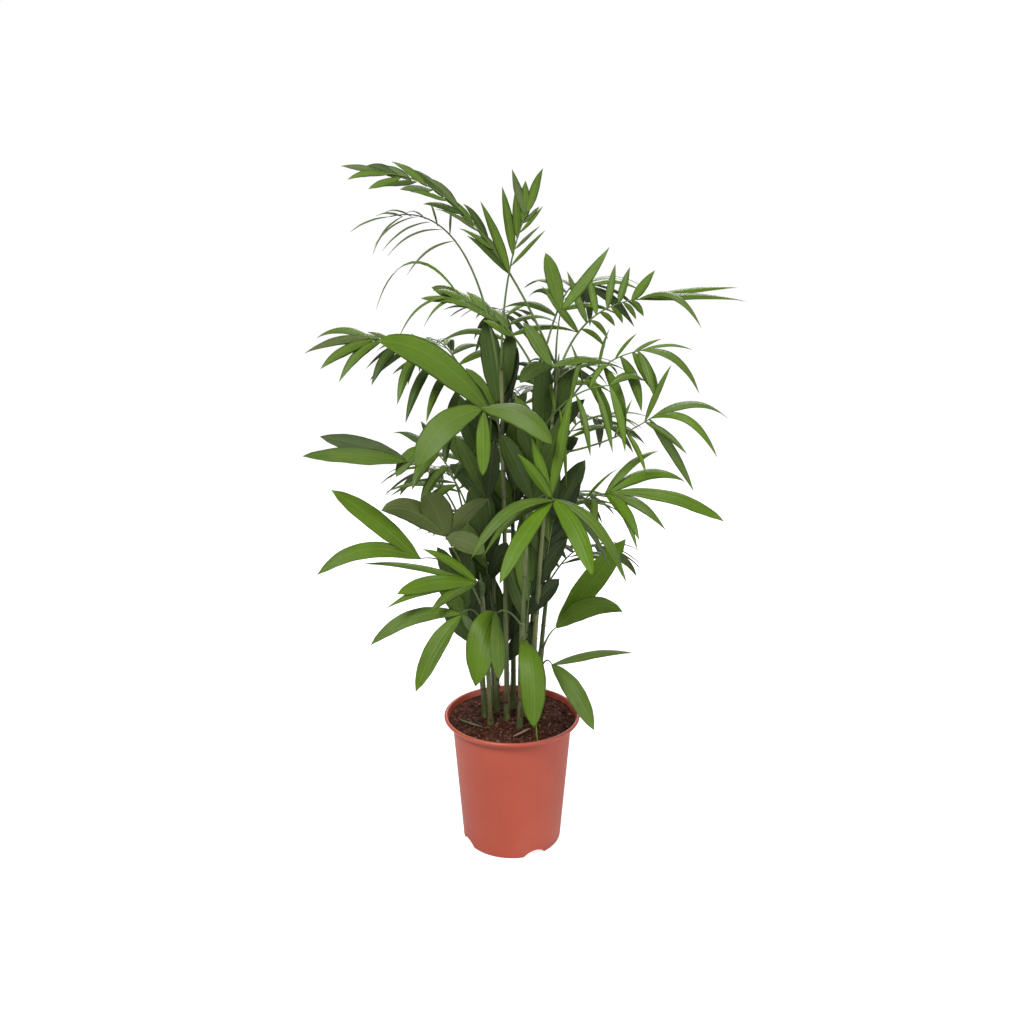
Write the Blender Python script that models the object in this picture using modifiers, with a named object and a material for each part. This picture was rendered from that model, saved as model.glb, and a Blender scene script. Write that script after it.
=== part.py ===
"""A potted bamboo palm: a clump of slim canes with arching fronds, in a round plastic nursery pot.

Metres, +Z up. The origin is the middle of the pot's flat underside. -Y is the front.
"""

import math
import random

import bmesh
import bpy
from mathutils import Matrix, Vector
from mathutils.bvhtree import BVHTree

# Driving sizes of the pot
POT_SIDES = 32
POT_HEIGHT = 0.265
POT_WALL = 0.0025
POT_FLOOR = 0.015
RIM_RADIUS = 0.135
NECK_RADIUS = 0.1185
FOOT_RADIUS = 0.0985
FOOT_ROUNDING = 0.004
LIP_HEIGHT = 0.017
LIP_STEP = 0.0018
NOTCH_COUNT = 4
NOTCH_WIDTH = 0.048
NOTCH_HEIGHT = 0.013
NOTCH_DEPTH = 0.020
NOTCH_TURN = -63.0
GAP = 0.0003

# Driving sizes of the canes
SOIL_TOP = 0.255
CANE_RADIUS = 0.0055
CANE_TAPER = 0.5
CANE_LEAN = 1.4
CANE_POINTS = 5
CANE_UPRIGHT = 0.02

# Driving sizes of the fronds
RIB_RADIUS = 0.0022
RIB_TAPER = 0.6
RIB_POINTS = 6
KEEL_SHARE = 0.014
SHORTEST_EDGES = (0.0008, 0.0006, 0.0004, 0.0002, 0.0001)
GOLDEN = 0.618
LOBE_STEP = 0.015
LAST_PAIR = 0.92
REAR_FRONDS = 11
CORE_FRONDS = 9
CORE_SPREAD = 0.067
UP = Vector((0, 0, 1))
FRONT = (0, -1, 0.7)

# Each cane: place at the soil, place of its tip, and height above the soil
CANES = {
    "cane_left": ((-0.055, 0.005), (-0.095, 0.020), 0.41),
    "cane_front_left": ((-0.042, -0.028), (-0.060, -0.055), 0.32),
    "cane_tall_left": ((-0.030, 0.030), (-0.050, 0.035), 0.66),
    "cane_tall_middle": ((-0.010, -0.010), (-0.020, 0.000), 0.71),
    "cane_back": ((0.003, 0.040), (0.000, 0.075), 0.66),
    "cane_front": ((0.015, -0.040), (0.030, -0.065), 0.45),
    "cane_tall_right": ((0.026, 0.008), (0.045, 0.020), 0.70),
    "cane_leaning": ((0.038, -0.020), (0.085, -0.015), 0.72),
    "cane_right": ((0.050, 0.012), (0.090, 0.020), 0.45),
    "cane_back_right": ((0.035, 0.045), (0.065, 0.090), 0.54),
    "cane_back_left": ((-0.035, 0.052), (-0.080, 0.090), 0.46),
}

# Width of a leaflet along its length, as shares of its full width: the narrow and the broad kind
LEAFLET_OUTLINE = ((0.0, 0.16), (0.15, 0.7), (0.35, 1.0), (0.6, 0.9), (0.8, 0.55), (0.93, 0.2), (1.0, 0.0))
LOBE_OUTLINE = ((0.0, 0.12), (0.12, 0.55), (0.35, 0.95), (0.55, 1.0), (0.75, 0.86), (0.9, 0.5), (1.0, 0.0))
BROAD_WIDTH = 0.0255


def clear_scene():
    for obj in list(bpy.data.objects):
        bpy.data.objects.remove(obj)


def new_collection(name):
    group = bpy.data.collections.new(name)
    bpy.context.scene.collection.children.link(group)
    return group


def plain_material(name, colour, roughness):
    material = bpy.data.materials.new(name)
    material.use_nodes = True
    shader = material.node_tree.nodes["Principled BSDF"]
    shader.inputs["Base Color"].default_value = (*colour, 1.0)
    shader.inputs["Roughness"].default_value = roughness
    shader.inputs["Metallic"].default_value = 0.0
    return material


def add_object(name, data, group, colour, roughness):
    obj = bpy.data.objects.new(name, data)
    data.materials.clear()
    data.materials.append(plain_material(name, colour, roughness))
    group.objects.link(obj)
    return obj


# Pot and soil
def wall_radius(height):
    """The pot's outer radius under the lip, which widens evenly from foot to neck."""
    return FOOT_RADIUS + (NECK_RADIUS - FOOT_RADIUS) * height / (POT_HEIGHT - LIP_HEIGHT)


def turned(name, profile, group, colour, roughness):
    """A profile of (radius, height) points, turned about Z. Its outer side runs downwards."""
    mesh = bpy.data.meshes.new(name)
    points = [(radius, 0, height) for radius, height in profile]
    edges = [(k, k + 1) for k in range(len(points) - 1)]
    mesh.from_pydata(points, edges, [])
    obj = add_object(name, mesh, group, colour, roughness)
    screw = obj.modifiers.new("Turn", "SCREW")
    screw.steps = POT_SIDES
    screw.render_steps = POT_SIDES
    screw.use_merge_vertices = True
    screw.merge_threshold = 0.00001
    screw.use_smooth_shade = True
    return obj


def make_pot(group, cutters):
    neck = POT_HEIGHT - LIP_HEIGHT
    inner_foot = wall_radius(POT_FLOOR) - POT_WALL
    profile = [
        (0, POT_FLOOR),
        (inner_foot, POT_FLOOR),
        (NECK_RADIUS - POT_WALL, neck - 0.0020),
        (RIM_RADIUS - 0.0097, neck + 0.0054),
        (RIM_RADIUS - 0.0068, POT_HEIGHT - 0.0022),
        (RIM_RADIUS - 0.0042, POT_HEIGHT),
        (RIM_RADIUS - 0.0014, POT_HEIGHT - 0.0008),
        (RIM_RADIUS, POT_HEIGHT - 0.0034),
        (RIM_RADIUS - 0.0012, POT_HEIGHT - 0.0062),
        (RIM_RADIUS - 0.0065, neck + 0.0054),
        (NECK_RADIUS + LIP_STEP, neck),
        (NECK_RADIUS, neck - 0.0012),
        (wall_radius(FOOT_ROUNDING), FOOT_ROUNDING),
        (FOOT_RADIUS - FOOT_ROUNDING * 0.3, FOOT_ROUNDING * 0.25),
        (FOOT_RADIUS - FOOT_ROUNDING, 0),
        (0, 0),
    ]
    pot = turned("pot", profile, group, (0.50, 0.10, 0.065), 0.42)
    for k in range(NOTCH_COUNT):
        cut = pot.modifiers.new(f"Drain notch {k + 1}", "BOOLEAN")
        cut.operation = "DIFFERENCE"
        cut.solver = "EXACT"
        cut.object = notch_cutter(k, cutters)


def notch_cutter(index, cutters):
    """A lying cylinder whose top rises through the foot as a low arch."""
    radius = ((NOTCH_WIDTH / 2) ** 2 + NOTCH_HEIGHT**2) / (2 * NOTCH_HEIGHT)
    turn = math.radians(NOTCH_TURN + 360 / NOTCH_COUNT * index)
    middle = FOOT_RADIUS
    mesh = bpy.data.meshes.new(f"notch_{index + 1}")
    bm = bmesh.new()
    bmesh.ops.create_cone(
        bm, cap_ends=True, segments=28, radius1=radius, radius2=radius, depth=2 * NOTCH_DEPTH
    )
    lay_down = Matrix.Rotation(math.pi / 2, 4, "Y")
    bmesh.ops.transform(bm, matrix=lay_down, verts=bm.verts)
    bm.to_mesh(mesh)
    bm.free()
    cutter = bpy.data.objects.new(f"notch_{index + 1}", mesh)
    cutter.location = (middle * math.cos(turn), middle * math.sin(turn), NOTCH_HEIGHT - radius)
    cutter.rotation_euler = (0, 0, turn)
    cutter.hide_render = True
    cutter.display_type = "WIRE"
    cutters.objects.link(cutter)
    return cutter


def make_soil(group):
    inside = POT_WALL + GAP
    low = POT_FLOOR + GAP
    neck = POT_HEIGHT - LIP_HEIGHT - 0.002
    profile = [
        (0, SOIL_TOP),
        (RIM_RADIUS - 0.0105, SOIL_TOP),
        (RIM_RADIUS - 0.0110, neck + 0.0074),
        (wall_radius(neck) - inside, neck + GAP),
        (wall_radius(low) - inside, low),
        (0, low),
    ]
    turned("soil", profile, group, (0.035, 0.018, 0.012), 0.95)


# Canes
def cane_point(cane, height):
    """The cane's axis at a height: upright at the soil, then leaning out towards its tip."""
    foot, tip, length = CANES[cane]
    share = max(0.0, (height - SOIL_TOP) / length) ** CANE_LEAN
    x, y = (a + (b - a) * share for a, b in zip(foot, tip))
    return Vector((x, y, height))


def cane_radius(cane, height):
    share = (height - SOIL_TOP) / CANES[cane][2]
    return CANE_RADIUS * (1 + (CANE_TAPER - 1) * share)


def tube(name, points, radii, sides_level):
    """A curve object with a round section and filled caps."""
    curve = bpy.data.curves.new(name, "CURVE")
    curve.dimensions = "3D"
    curve.bevel_depth = 1.0
    curve.bevel_resolution = sides_level
    curve.use_fill_caps = True
    spline = curve.splines.new("POLY")
    spline.points.add(len(points) - 1)
    for spot, point, radius in zip(spline.points, points, radii):
        spot.co = (*point, 1)
        spot.radius = radius
    return curve


def make_canes(group):
    for cane, (_, _, length) in CANES.items():
        low = SOIL_TOP + GAP
        heights = [low, low + CANE_UPRIGHT]
        heights += [SOIL_TOP + length * k / (CANE_POINTS - 1) for k in range(1, CANE_POINTS)]
        points = [cane_point(cane, height) for height in heights]
        points[1].xy = points[0].xy
        radii = [cane_radius(cane, height) for height in heights]
        add_object(cane, tube(cane, points, radii, 2), group, (0.14, 0.19, 0.05), 0.5)


# The rule of a frond: a rib that arches from its cane, and leaflets in pairs along it
class Frond:
    """One frond: where its rib starts, bends and ends, and how its leaflets stand on it."""

    def __init__(self, name, cane, height, bend, tip, **leaves):
        self.name = name
        self.cane = cane
        self.height = height
        self.bend = Vector(bend)
        self.tip = Vector(tip)
        self.face = Vector(leaves.get("face", UP)).normalized()
        self.lobes = leaves.get("lobes", ())
        self.pairs = leaves.get("pairs", 0)
        self.bare = leaves.get("bare", 0.4)
        self.blade = leaves.get("blade", 0.15)
        self.width = leaves.get("width", 0.018)
        self.grow = leaves.get("grow", (0.75, 1.0))
        self.left = leaves.get("left", (60, 30, 10, 1.0, 1.0, 1.0))
        self.right = leaves.get("right", self.left)
        self.foot = self.seat()

    def seat(self):
        """The middle of the stem's cut end, a small gap clear of the cane's side."""
        axis = cane_point(self.cane, self.height)
        out = self.bend - axis
        level = Vector((out.x, out.y, 0)).normalized()
        rise = abs(out.normalized().z)
        return axis + level * (cane_radius(self.cane, self.height) + GAP + RIB_RADIUS * rise)

    def point(self, share):
        low = self.foot.lerp(self.bend, share)
        high = self.bend.lerp(self.tip, share)
        return low.lerp(high, share)

    def on_rib(self, share):
        """A point in the middle of the rib's tube, which is straight between its points."""
        stretch = share * (RIB_POINTS - 1)
        first = min(int(stretch), RIB_POINTS - 2)
        low = self.point(first / (RIB_POINTS - 1))
        high = self.point((first + 1) / (RIB_POINTS - 1))
        return low.lerp(high, stretch - first)

    def heading(self, share):
        return (self.bend - self.foot).lerp(self.tip - self.bend, share).normalized()


def swept(root, heading, length, droop, steps):
    """The midline of a leaflet that sets off along its heading and bends down under its weight."""
    points = [root.copy()]
    for k in range(steps):
        sag = UP * droop * ((k + 0.5) / steps) ** 1.4
        points.append(points[-1] + (heading - sag).normalized() * length / steps)
    return points


def aimed(root, end, droop):
    """The start vector with which a drooping leaflet ends at a given place."""
    start = end - root
    for _ in range(30):
        reached = swept(root, start.normalized(), start.length, droop, 12)[-1]
        start = start + (end - reached) * 0.7
    return start


def leaflets_of(frond):
    """Each leaflet as root, heading, side direction, length, width and droop."""
    chance = random.Random(frond.name)
    found = [lobe_leaflet(frond, k, *lobe) for k, lobe in enumerate(frond.lobes)]
    for k in range(frond.pairs):
        share = k / max(1, frond.pairs - 1)
        for side, setting in ((-1, frond.left), (1, frond.right)):
            leaf = paired_leaflet(frond, k, share, side, setting, chance)
            if setting[4] > 0:
                found.append(leaf)
    return found


def lobe_leaflet(frond, index, end, width, droop, face=None):
    """A leaflet from the end of the rib to a given place. No two start at quite the same point."""
    root = frond.on_rib(1 - LOBE_STEP * index)
    start = aimed(root, Vector(end), droop)
    heading = start.normalized()
    flat = Vector(face or frond.face).cross(heading).normalized()
    return root, heading, flat, start.length, width, droop


def paired_leaflet(frond, index, share, side, setting, chance):
    first, last, lift, droop, size, breadth = setting
    last_share = LAST_PAIR if frond.lobes else 1.0
    along = frond.bare + (last_share - frond.bare) * share
    final = index == frond.pairs - 1
    if side > 0 and not final:
        along += (1 - frond.bare) / (frond.pairs - 1) * 0.3
    heading = frond.heading(along)
    across = heading.cross(frond.face).normalized()
    normal = across.cross(heading)
    splay = math.radians(first + (last - first) * share + chance.uniform(-8, 8))
    raised = math.radians(lift + chance.uniform(-10, 10))
    length = frond.blade * size * (frond.grow[0] + (frond.grow[1] - frond.grow[0]) * share)
    length *= chance.uniform(0.85, 1.12)
    droop *= chance.uniform(0.75, 1.3)
    outward = across * side * math.cos(raised) + normal * math.sin(raised)
    upward = normal * math.cos(raised) - across * side * math.sin(raised)
    direction = heading * math.cos(splay) + outward * math.sin(splay)
    flat = upward.cross(direction).normalized()
    width = frond.width * breadth * (1.2 if final else 1.0)
    return frond.on_rib(along), direction.normalized(), flat, length, width, droop


def outline_width(share, broad=False):
    outline = LOBE_OUTLINE if broad else LEAFLET_OUTLINE
    for (low, first), (high, last) in zip(outline, outline[1:]):
        if share <= high:
            return first + (last - first) * (share - low) / (high - low)
    return 0.0


# The fronds that show from the front. A lobe is its tip, width, droop and, where it is turned, its face.
def front_fronds():
    return [
        Frond(
            "frond_top_fork", "cane_leaning", 0.92, (0.075, -0.06, 1.01), (0.085, -0.08, 1.055),
            face=FRONT,
            lobes=(((0.06, -0.07, 1.15), 0.027, 0.2), ((0.17, -0.08, 1.155), 0.022, 0.0)),
        ),
        Frond(
            "frond_broad_left", "cane_tall_left", 0.80, (-0.035, -0.04, 0.84), (-0.04, -0.07, 0.88),
            lobes=(
                ((-0.225, -0.15, 1.01), 0.058, 0.75, (0.2, -1, 1)),
                ((-0.120, -0.05, 0.945), 0.034, 0.4, (0, -1, 0.5)),
            ),
        ),
        Frond(
            "frond_far_left", "cane_left", 0.645, (-0.13, -0.06, 0.775), (-0.19, -0.08, 0.79),
            lobes=(
                ((-0.365, -0.12, 0.805), 0.050, 0.3, (0, -0.6, 1)),
                ((-0.345, -0.05, 0.835), 0.034, 0.2, (0, -1, 0.5)),
            ),
        ),
        Frond(
            "frond_middle_bow", "cane_tall_middle", 0.81, (-0.03, -0.12, 0.905), (-0.05, -0.17, 0.895),
            lobes=(
                ((-0.160, -0.22, 0.805), 0.050, 1.8, (0, -1, 0.6)),
                ((0.070, -0.22, 0.845), 0.047, 1.4, (0, -0.8, 1)),
                ((-0.045, -0.195, 0.785), 0.026, 0.9, (0, -1, 0.2)),
            ),
        ),
        Frond(
            "frond_low_left", "cane_left", 0.51, (-0.11, -0.08, 0.62), (-0.165, -0.12, 0.62),
            lobes=(
                ((-0.310, -0.13, 0.755), 0.038, 0.2, (0, -1, 1)),
                ((-0.335, -0.18, 0.605), 0.034, 1.3, (0, -0.8, 1)),
            ),
        ),
        Frond(
            "frond_pale_left", "cane_front_left", 0.51, (-0.09, -0.08, 0.60), (-0.12, -0.11, 0.66),
            lobes=(
                ((-0.225, -0.15, 0.71), 0.042, 1.0, (0, -1, 0.6)),
                ((-0.150, -0.14, 0.745), 0.056, 0.6, (0, -1, 0.3)),
                ((-0.050, -0.13, 0.63), 0.040, 0.8, (0, -1, 0.3)),
            ),
        ),
        Frond(
            "frond_foot_left", "cane_front_left", 0.46, (-0.065, -0.13, 0.545), (-0.09, -0.16, 0.53),
            lobes=(
                ((-0.245, -0.20, 0.485), 0.030, 1.3, (0, -1, 1)),
                ((-0.170, -0.22, 0.41), 0.034, 1.2, (0, -1, 0.3)),
                ((-0.060, -0.19, 0.485), 0.020, 0.8, (0, -1, 0.5)),
            ),
        ),
        Frond(
            "frond_front_left", "cane_front", 0.47, (-0.01, -0.09, 0.525), (-0.028, -0.13, 0.520),
            lobes=(
                ((-0.062, -0.22, 0.418), 0.054, 4.3, (0.1, -1, 0.5)),
                ((-0.022, -0.22, 0.430), 0.034, 4.0, (0.4, -1, 0.4)),
            ),
        ),
        Frond(
            "frond_front_right", "cane_front", 0.40, (0.016, -0.09, 0.480), (0.022, -0.12, 0.465),
            lobes=(
                ((0.046, -0.23, 0.345), 0.050, 4.6, (0.3, -1, 0.5)),
                ((0.026, -0.21, 0.352), 0.032, 4.6, (-0.4, -1, 0.3)),
                ((0.040, -0.24, 0.308), 0.006, 3.6, (0.2, -1, 0.5)),
            ),
        ),
        Frond(
            "frond_foot_right", "cane_right", 0.355, (0.066, -0.04, 0.405), (0.075, -0.09, 0.405),
            lobes=(
                ((0.230, -0.08, 0.420), 0.024, 0.6, (0, -0.3, 1)),
                ((0.145, -0.18, 0.315), 0.036, 1.2, (0, -1, 0.6)),
            ),
        ),
        Frond(
            "frond_low_right", "cane_right", 0.40, (0.072, -0.01, 0.44), (0.085, -0.04, 0.460),
            lobes=(
                ((0.220, -0.02, 0.625), 0.050, 0.1, (0.3, -1, 0.2)),
                ((0.205, -0.09, 0.510), 0.040, 1.0, (0.2, -1, 0.6)),
            ),
        ),
        Frond(
            "frond_dark_top", "cane_tall_right", 0.92, (0.065, -0.03, 0.96), (0.07, -0.05, 0.955),
            lobes=(
                ((0.170, -0.04, 0.96), 0.028, 0.8, (0, -0.6, 1)),
                ((0.015, -0.10, 0.93), 0.030, 1.2, (0, -1, 0.6)),
                ((0.020, -0.02, 1.03), 0.026, 0.3, (0, -1, 0.3)),
            ),
        ),
        Frond(
            "frond_heart", "cane_front", 0.62, (0.03, -0.02, 0.66), (0.04, -0.03, 0.705),
            lobes=(
                ((-0.015, -0.04, 0.835), 0.042, 0.1, FRONT),
                ((0.090, -0.05, 0.870), 0.040, 0.0, FRONT),
                ((0.125, -0.02, 0.650), 0.034, 1.4, FRONT),
            ),
        ),
        Frond(
            "frond_heart_left", "cane_tall_left", 0.64, (-0.04, -0.03, 0.69), (-0.045, -0.05, 0.715),
            lobes=(
                ((-0.030, -0.07, 0.825), 0.032, 0.1, FRONT),
                ((-0.100, -0.04, 0.830), 0.030, 0.2, FRONT),
                ((-0.125, -0.06, 0.640), 0.034, 1.2, FRONT),
            ),
        ),
        Frond(
            "frond_hanging_left", "cane_left", 0.61, (-0.10, -0.03, 0.78), (-0.155, -0.05, 0.81),
            pairs=4, bare=0.45, blade=0.105, width=0.022, face=(0, -0.7, 1), grow=(1, 0.9),
            left=(80, 40, 0, 1.8, 1, 1), right=(60, 30, 10, 0.8, 0.9, 0.8),
        ),
        Frond(
            "frond_umbrella", "cane_front", 0.69, (0.055, -0.14, 0.76), (0.07, -0.20, 0.745),
            lobes=(
                ((-0.065, -0.28, 0.665), 0.026, 2.0, (0, -0.6, 1)),
                ((-0.050, -0.22, 0.645), 0.022, 2.2, (0, -0.8, 1)),
                ((-0.020, -0.30, 0.630), 0.030, 1.0, (0, -1, 0.8)),
                ((0.135, -0.30, 0.645), 0.034, 1.0, (0, -1, 0.8)),
                ((0.190, -0.26, 0.620), 0.026, 2.4, (0, -0.6, 1)),
                ((0.175, -0.18, 0.610), 0.018, 2.0, (0, -0.8, 1)),
                ((0.010, -0.20, 0.825), 0.022, 0.2, (0, -1, 0.4)),
                ((0.030, -0.18, 0.850), 0.022, 0.2, (0.3, -1, 0.2)),
                ((0.100, -0.17, 0.925), 0.022, 0.0, (0.4, -1, 0.2)),
            ),
        ),
        Frond(
            "frond_top_left", "cane_leaning", 0.955, (-0.06, -0.02, 1.275), (-0.215, -0.04, 1.28),
            pairs=8, bare=0.30, blade=0.072, width=0.015, face=(0.2, -1, 0.7), grow=(1.25, 0.8),
            left=(10, 30, 20, 0.5, 1, 1), right=(8, 24, 14, 0.6, 1, 1),
            lobes=(((-0.290, -0.05, 1.290), 0.015, 0.4), ((-0.275, -0.07, 1.265), 0.014, 0.8)),
        ),
        Frond(
            "frond_top_middle", "cane_tall_middle", 0.945, (-0.01, -0.02, 1.12), (0.025, -0.05, 1.215),
            pairs=4, bare=0.56, blade=0.125, width=0.018, face=FRONT, grow=(1.1, 0.6),
            left=(28, 22, 5, 0.1, 1, 1), right=(44, 34, 30, 0.1, 0.75, 0.45),
            lobes=(((0.055, -0.06, 1.285), 0.017, 0.5, FRONT), ((-0.002, -0.06, 1.285), 0.017, 0.1, FRONT)),
        ),
        Frond(
            "frond_upper_right", "cane_leaning", 0.945, (0.125, 0.02, 1.06), (0.235, 0.03, 1.07),
            pairs=6, bare=0.34, blade=0.085, width=0.015, face=(0, -1, 0.3), grow=(1.3, 0.8),
            left=(80, 44, 0, 0.1, 1, 1), right=(60, 40, -10, 1.6, 0.5, 0.7),
            lobes=(
                ((0.430, 0.03, 1.065), 0.022, 0.35, (0, -0.8, 1)),
                ((0.420, 0.08, 1.095), 0.016, 0.2, (0, -1, 1)),
                ((0.335, -0.04, 1.020), 0.017, 2.2, (0, -0.8, 1)),
            ),
        ),
        Frond(
            "frond_middle_right", "cane_leaning", 0.84, (0.13, -0.05, 0.965), (0.225, -0.08, 0.985),
            pairs=4, bare=0.40, blade=0.105, width=0.020, face=(0, -1, 0.4), grow=(1.1, 0.8),
            left=(46, 20, 10, 0.5, 0.7, 0.3), right=(95, 70, -10, 1.2, 1, 1),
            lobes=(
                ((0.325, -0.12, 0.915), 0.019, 2.2, (0, -0.8, 1)),
                ((0.310, -0.10, 0.985), 0.007, 0.8, (0, -1, 1)),
                ((0.245, -0.12, 0.905), 0.018, 1.6, (0, -1, 0.4)),
            ),
        ),
        Frond(
            "frond_lower_right", "cane_leaning", 0.79, (0.17, -0.10, 0.82), (0.24, -0.13, 0.875),
            pairs=2, bare=0.6, blade=0.11, width=0.010, face=(0, -1, 0.6),
            left=(60, 40, 5, 0.4, 1, 1), right=(70, 50, 0, 0.8, 1, 1),
            lobes=(
                ((0.365, -0.16, 0.875), 0.019, 1.3, (0, -0.8, 1)),
                ((0.335, -0.20, 0.815), 0.017, 2.4, (0, -0.8, 1)),
                ((0.315, -0.12, 0.740), 0.018, 0.8, (0, -1, 0.6)),
            ),
        ),
        Frond(
            "frond_inner_right", "cane_tall_right", 0.80, (0.10, -0.05, 0.92), (0.17, -0.09, 0.925),
            pairs=4, bare=0.35, blade=0.115, width=0.013, face=(0, -0.8, 0.8), grow=(1.1, 0.9),
            left=(70, 40, 20, 1.6, 0.8, 1), right=(95, 60, -10, 1.8, 1.1, 1),
        ),
        Frond(
            "frond_wide_right", "cane_right", 0.67, (0.125, -0.06, 0.715), (0.175, -0.09, 0.735),
            pairs=2, bare=0.55, blade=0.13, width=0.018, face=(0, -0.7, 1),
            left=(70, 50, 5, 0.6, 1, 1), right=(60, 40, 0, 1.0, 1, 1),
            lobes=(
                ((0.365, -0.15, 0.690), 0.030, 0.9, (0, -0.6, 1)),
                ((0.315, -0.06, 0.745), 0.024, 1.2, (0, -1, 1)),
                ((0.265, -0.16, 0.680), 0.024, 1.2, (0, -0.8, 1)),
                ((0.215, -0.18, 0.650), 0.012, 1.6, (0, -1, 0.5)),
            ),
        ),
        Frond(
            "frond_upper_left", "cane_tall_left", 0.86, (-0.115, -0.02, 0.985), (-0.25, -0.06, 1.005),
            pairs=6, bare=0.26, blade=0.125, width=0.020, face=(0, -0.7, 1), grow=(1.1, 0.95),
            left=(85, 40, -5, 1.8, 1, 0.9), right=(50, 14, 10, 0.5, 0.5, 0.6),
            lobes=(
                ((-0.360, -0.09, 0.980), 0.024, 0.7, (0, -0.9, 1)),
                ((-0.350, -0.03, 1.000), 0.017, 1.1, (0, -0.9, 1)),
                ((-0.325, -0.12, 0.955), 0.024, 0.9, (0, -0.9, 1)),
            ),
        ),
        Frond(
            "frond_crown_left", "cane_tall_right", 0.945, (-0.01, 0.02, 1.045), (-0.095, 0.03, 1.07),
            pairs=4, bare=0.34, blade=0.085, width=0.024, face=(0, -0.6, 1),
            left=(18, 12, 20, 0.6, 1, 1), right=(16, 12, 10, 0.6, 1, 1),
            lobes=(
                ((-0.160, 0.00, 1.020), 0.008, 2.2, (0, -1, 1)),
                ((-0.250, 0.00, 1.050), 0.006, 2.4, (0, -1, 1)),
                ((-0.210, -0.02, 1.000), 0.006, 2.2, (0, -1, 1)),
                ((-0.145, 0.03, 1.085), 0.016, 0.8, (0, -1, 1)),
            ),
        ),
        Frond(
            "frond_thin_left", "cane_tall_middle", 0.93, (-0.065, 0.05, 1.25), (-0.22, 0.04, 1.215),
            pairs=5, bare=0.55, blade=0.13, width=0.0045, face=(0, -1, 1), grow=(1, 0.7),
            left=(70, 30, 10, 1.4, 1, 1), right=(50, 25, 0, 0.9, 0.6, 1),
            lobes=(((-0.290, 0.02, 1.185), 0.0045, 0.8),),
        ),
        Frond(
            "frond_narrow_left", "cane_front_left", 0.53, (-0.045, -0.08, 0.57), (-0.065, -0.12, 0.575),
            lobes=(
                ((-0.200, -0.20, 0.585), 0.034, 0.5, (0, -0.8, 1)),
                ((-0.265, -0.15, 0.610), 0.014, 0.5, (0, -0.8, 1)),
                ((-0.215, -0.22, 0.560), 0.024, 0.7, (0, -0.8, 1)),
                ((-0.140, -0.20, 0.545), 0.022, 0.7, (0, -1, 0.6)),
                ((-0.160, -0.12, 0.640), 0.020, 0.5, (0, -1, 0.6)),
            ),
        ),
    ]


def reaching(height):
    return [cane for cane in CANES if SOIL_TOP + CANES[cane][2] > height + 0.01]


def tallest_towards(out, height):
    """The cane that reaches a height and leans furthest towards a direction."""
    return max(reaching(height), key=lambda name: cane_point(name, height).dot(out))


def rear_fronds():
    """Fronds that fan out behind, evenly spread in height and in direction, wider near the top."""
    found = []
    for k in range(REAR_FRONDS):
        share = k / (REAR_FRONDS - 1)
        height = 0.46 + 0.45 * share
        swing = (38 + 8 * share) * (2 * (k * GOLDEN % 1) - 1)
        turn = math.radians(90 + swing)
        out = Vector((math.cos(turn), math.sin(turn), 0))
        cane = tallest_towards(out, height)
        axis = cane_point(cane, height)
        reach = 0.24 - 0.02 * share
        rise = 0.08 + 0.10 * share
        found.append(
            Frond(
                f"frond_rear_{k + 1:02d}", cane, height,
                axis + out * reach * 0.5 + UP * (rise + 0.05), axis + out * reach + UP * rise,
                pairs=4, bare=0.36, blade=0.158, width=0.025, grow=(0.95, 0.95),
                left=(62, 20, 12, 1.1, 1, 1),
            )
        )
    return found


def core_fronds():
    """Short fronds with broad leaflets that stand up among the canes, by turns behind and in front of them."""
    found = []
    for k in range(CORE_FRONDS):
        share = k / (CORE_FRONDS - 1)
        height = 0.31 + 0.45 * share
        side = CORE_SPREAD * (2 * ((k * GOLDEN + 0.5) % 1) - 1) - 0.008
        out = Vector((side, -0.04 if k % 2 else 0.04, 0)).normalized()
        cane = min(reaching(height), key=lambda name: abs(cane_point(name, height).x - side))
        axis = cane_point(cane, height)
        found.append(
            Frond(
                f"frond_core_{k + 1}", cane, height,
                axis + out * 0.022 + UP * 0.06, axis + out * 0.032 + UP * 0.12,
                pairs=3, bare=0.40, blade=0.145, width=0.034, face=Vector((0, -1, 0.2)) + out * 0.4,
                left=(30, 10, 10, 0.3, 1, 1),
            )
        )
    return found


def all_fronds():
    fronds = front_fronds() + core_fronds() + rear_fronds()
    clear_ribs(fronds)
    return fronds


# Keeping the ribs clear of each other and of the canes
def nearest(first, second):
    return min((a - b).length for a in first for b in second)


def clear_ribs(fronds):
    """Swings the bend of a rib sideways, or shifts its foot, by as little as lets it pass the rest."""
    placed = []
    lines = {
        cane: [cane_point(cane, SOIL_TOP + CANES[cane][2] * k / 80) for k in range(81)] for cane in CANES
    }
    tries = [(shift, swing) for shift in (0, 0.018, -0.018) for swing in (0, 1, -1, 2, -2, 3, -3, 4, -4)]
    for frond in fronds:
        middle = frond.bend.copy()
        height = frond.height
        sideways = (frond.tip - frond.foot).cross(UP).normalized()
        best = None
        for shift, swing in tries:
            frond.bend = middle + sideways * swing * 0.012
            frond.height = height + shift
            frond.foot = frond.seat()
            path = [frond.point(k / 50) for k in range(51)]
            others = [line for cane, line in lines.items() if cane != frond.cane]
            room = min(nearest(path, line) - CANE_RADIUS for line in others)
            room = min([room] + [nearest(path, line) - RIB_RADIUS for line in placed])
            if best is None or room > best[0] + 0.001:
                best = (room, frond.bend.copy(), frond.height, path)
            if room > 0.006:
                break
        frond.bend = best[1]
        frond.height = best[2]
        frond.foot = frond.seat()
        placed.append(best[3])


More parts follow.
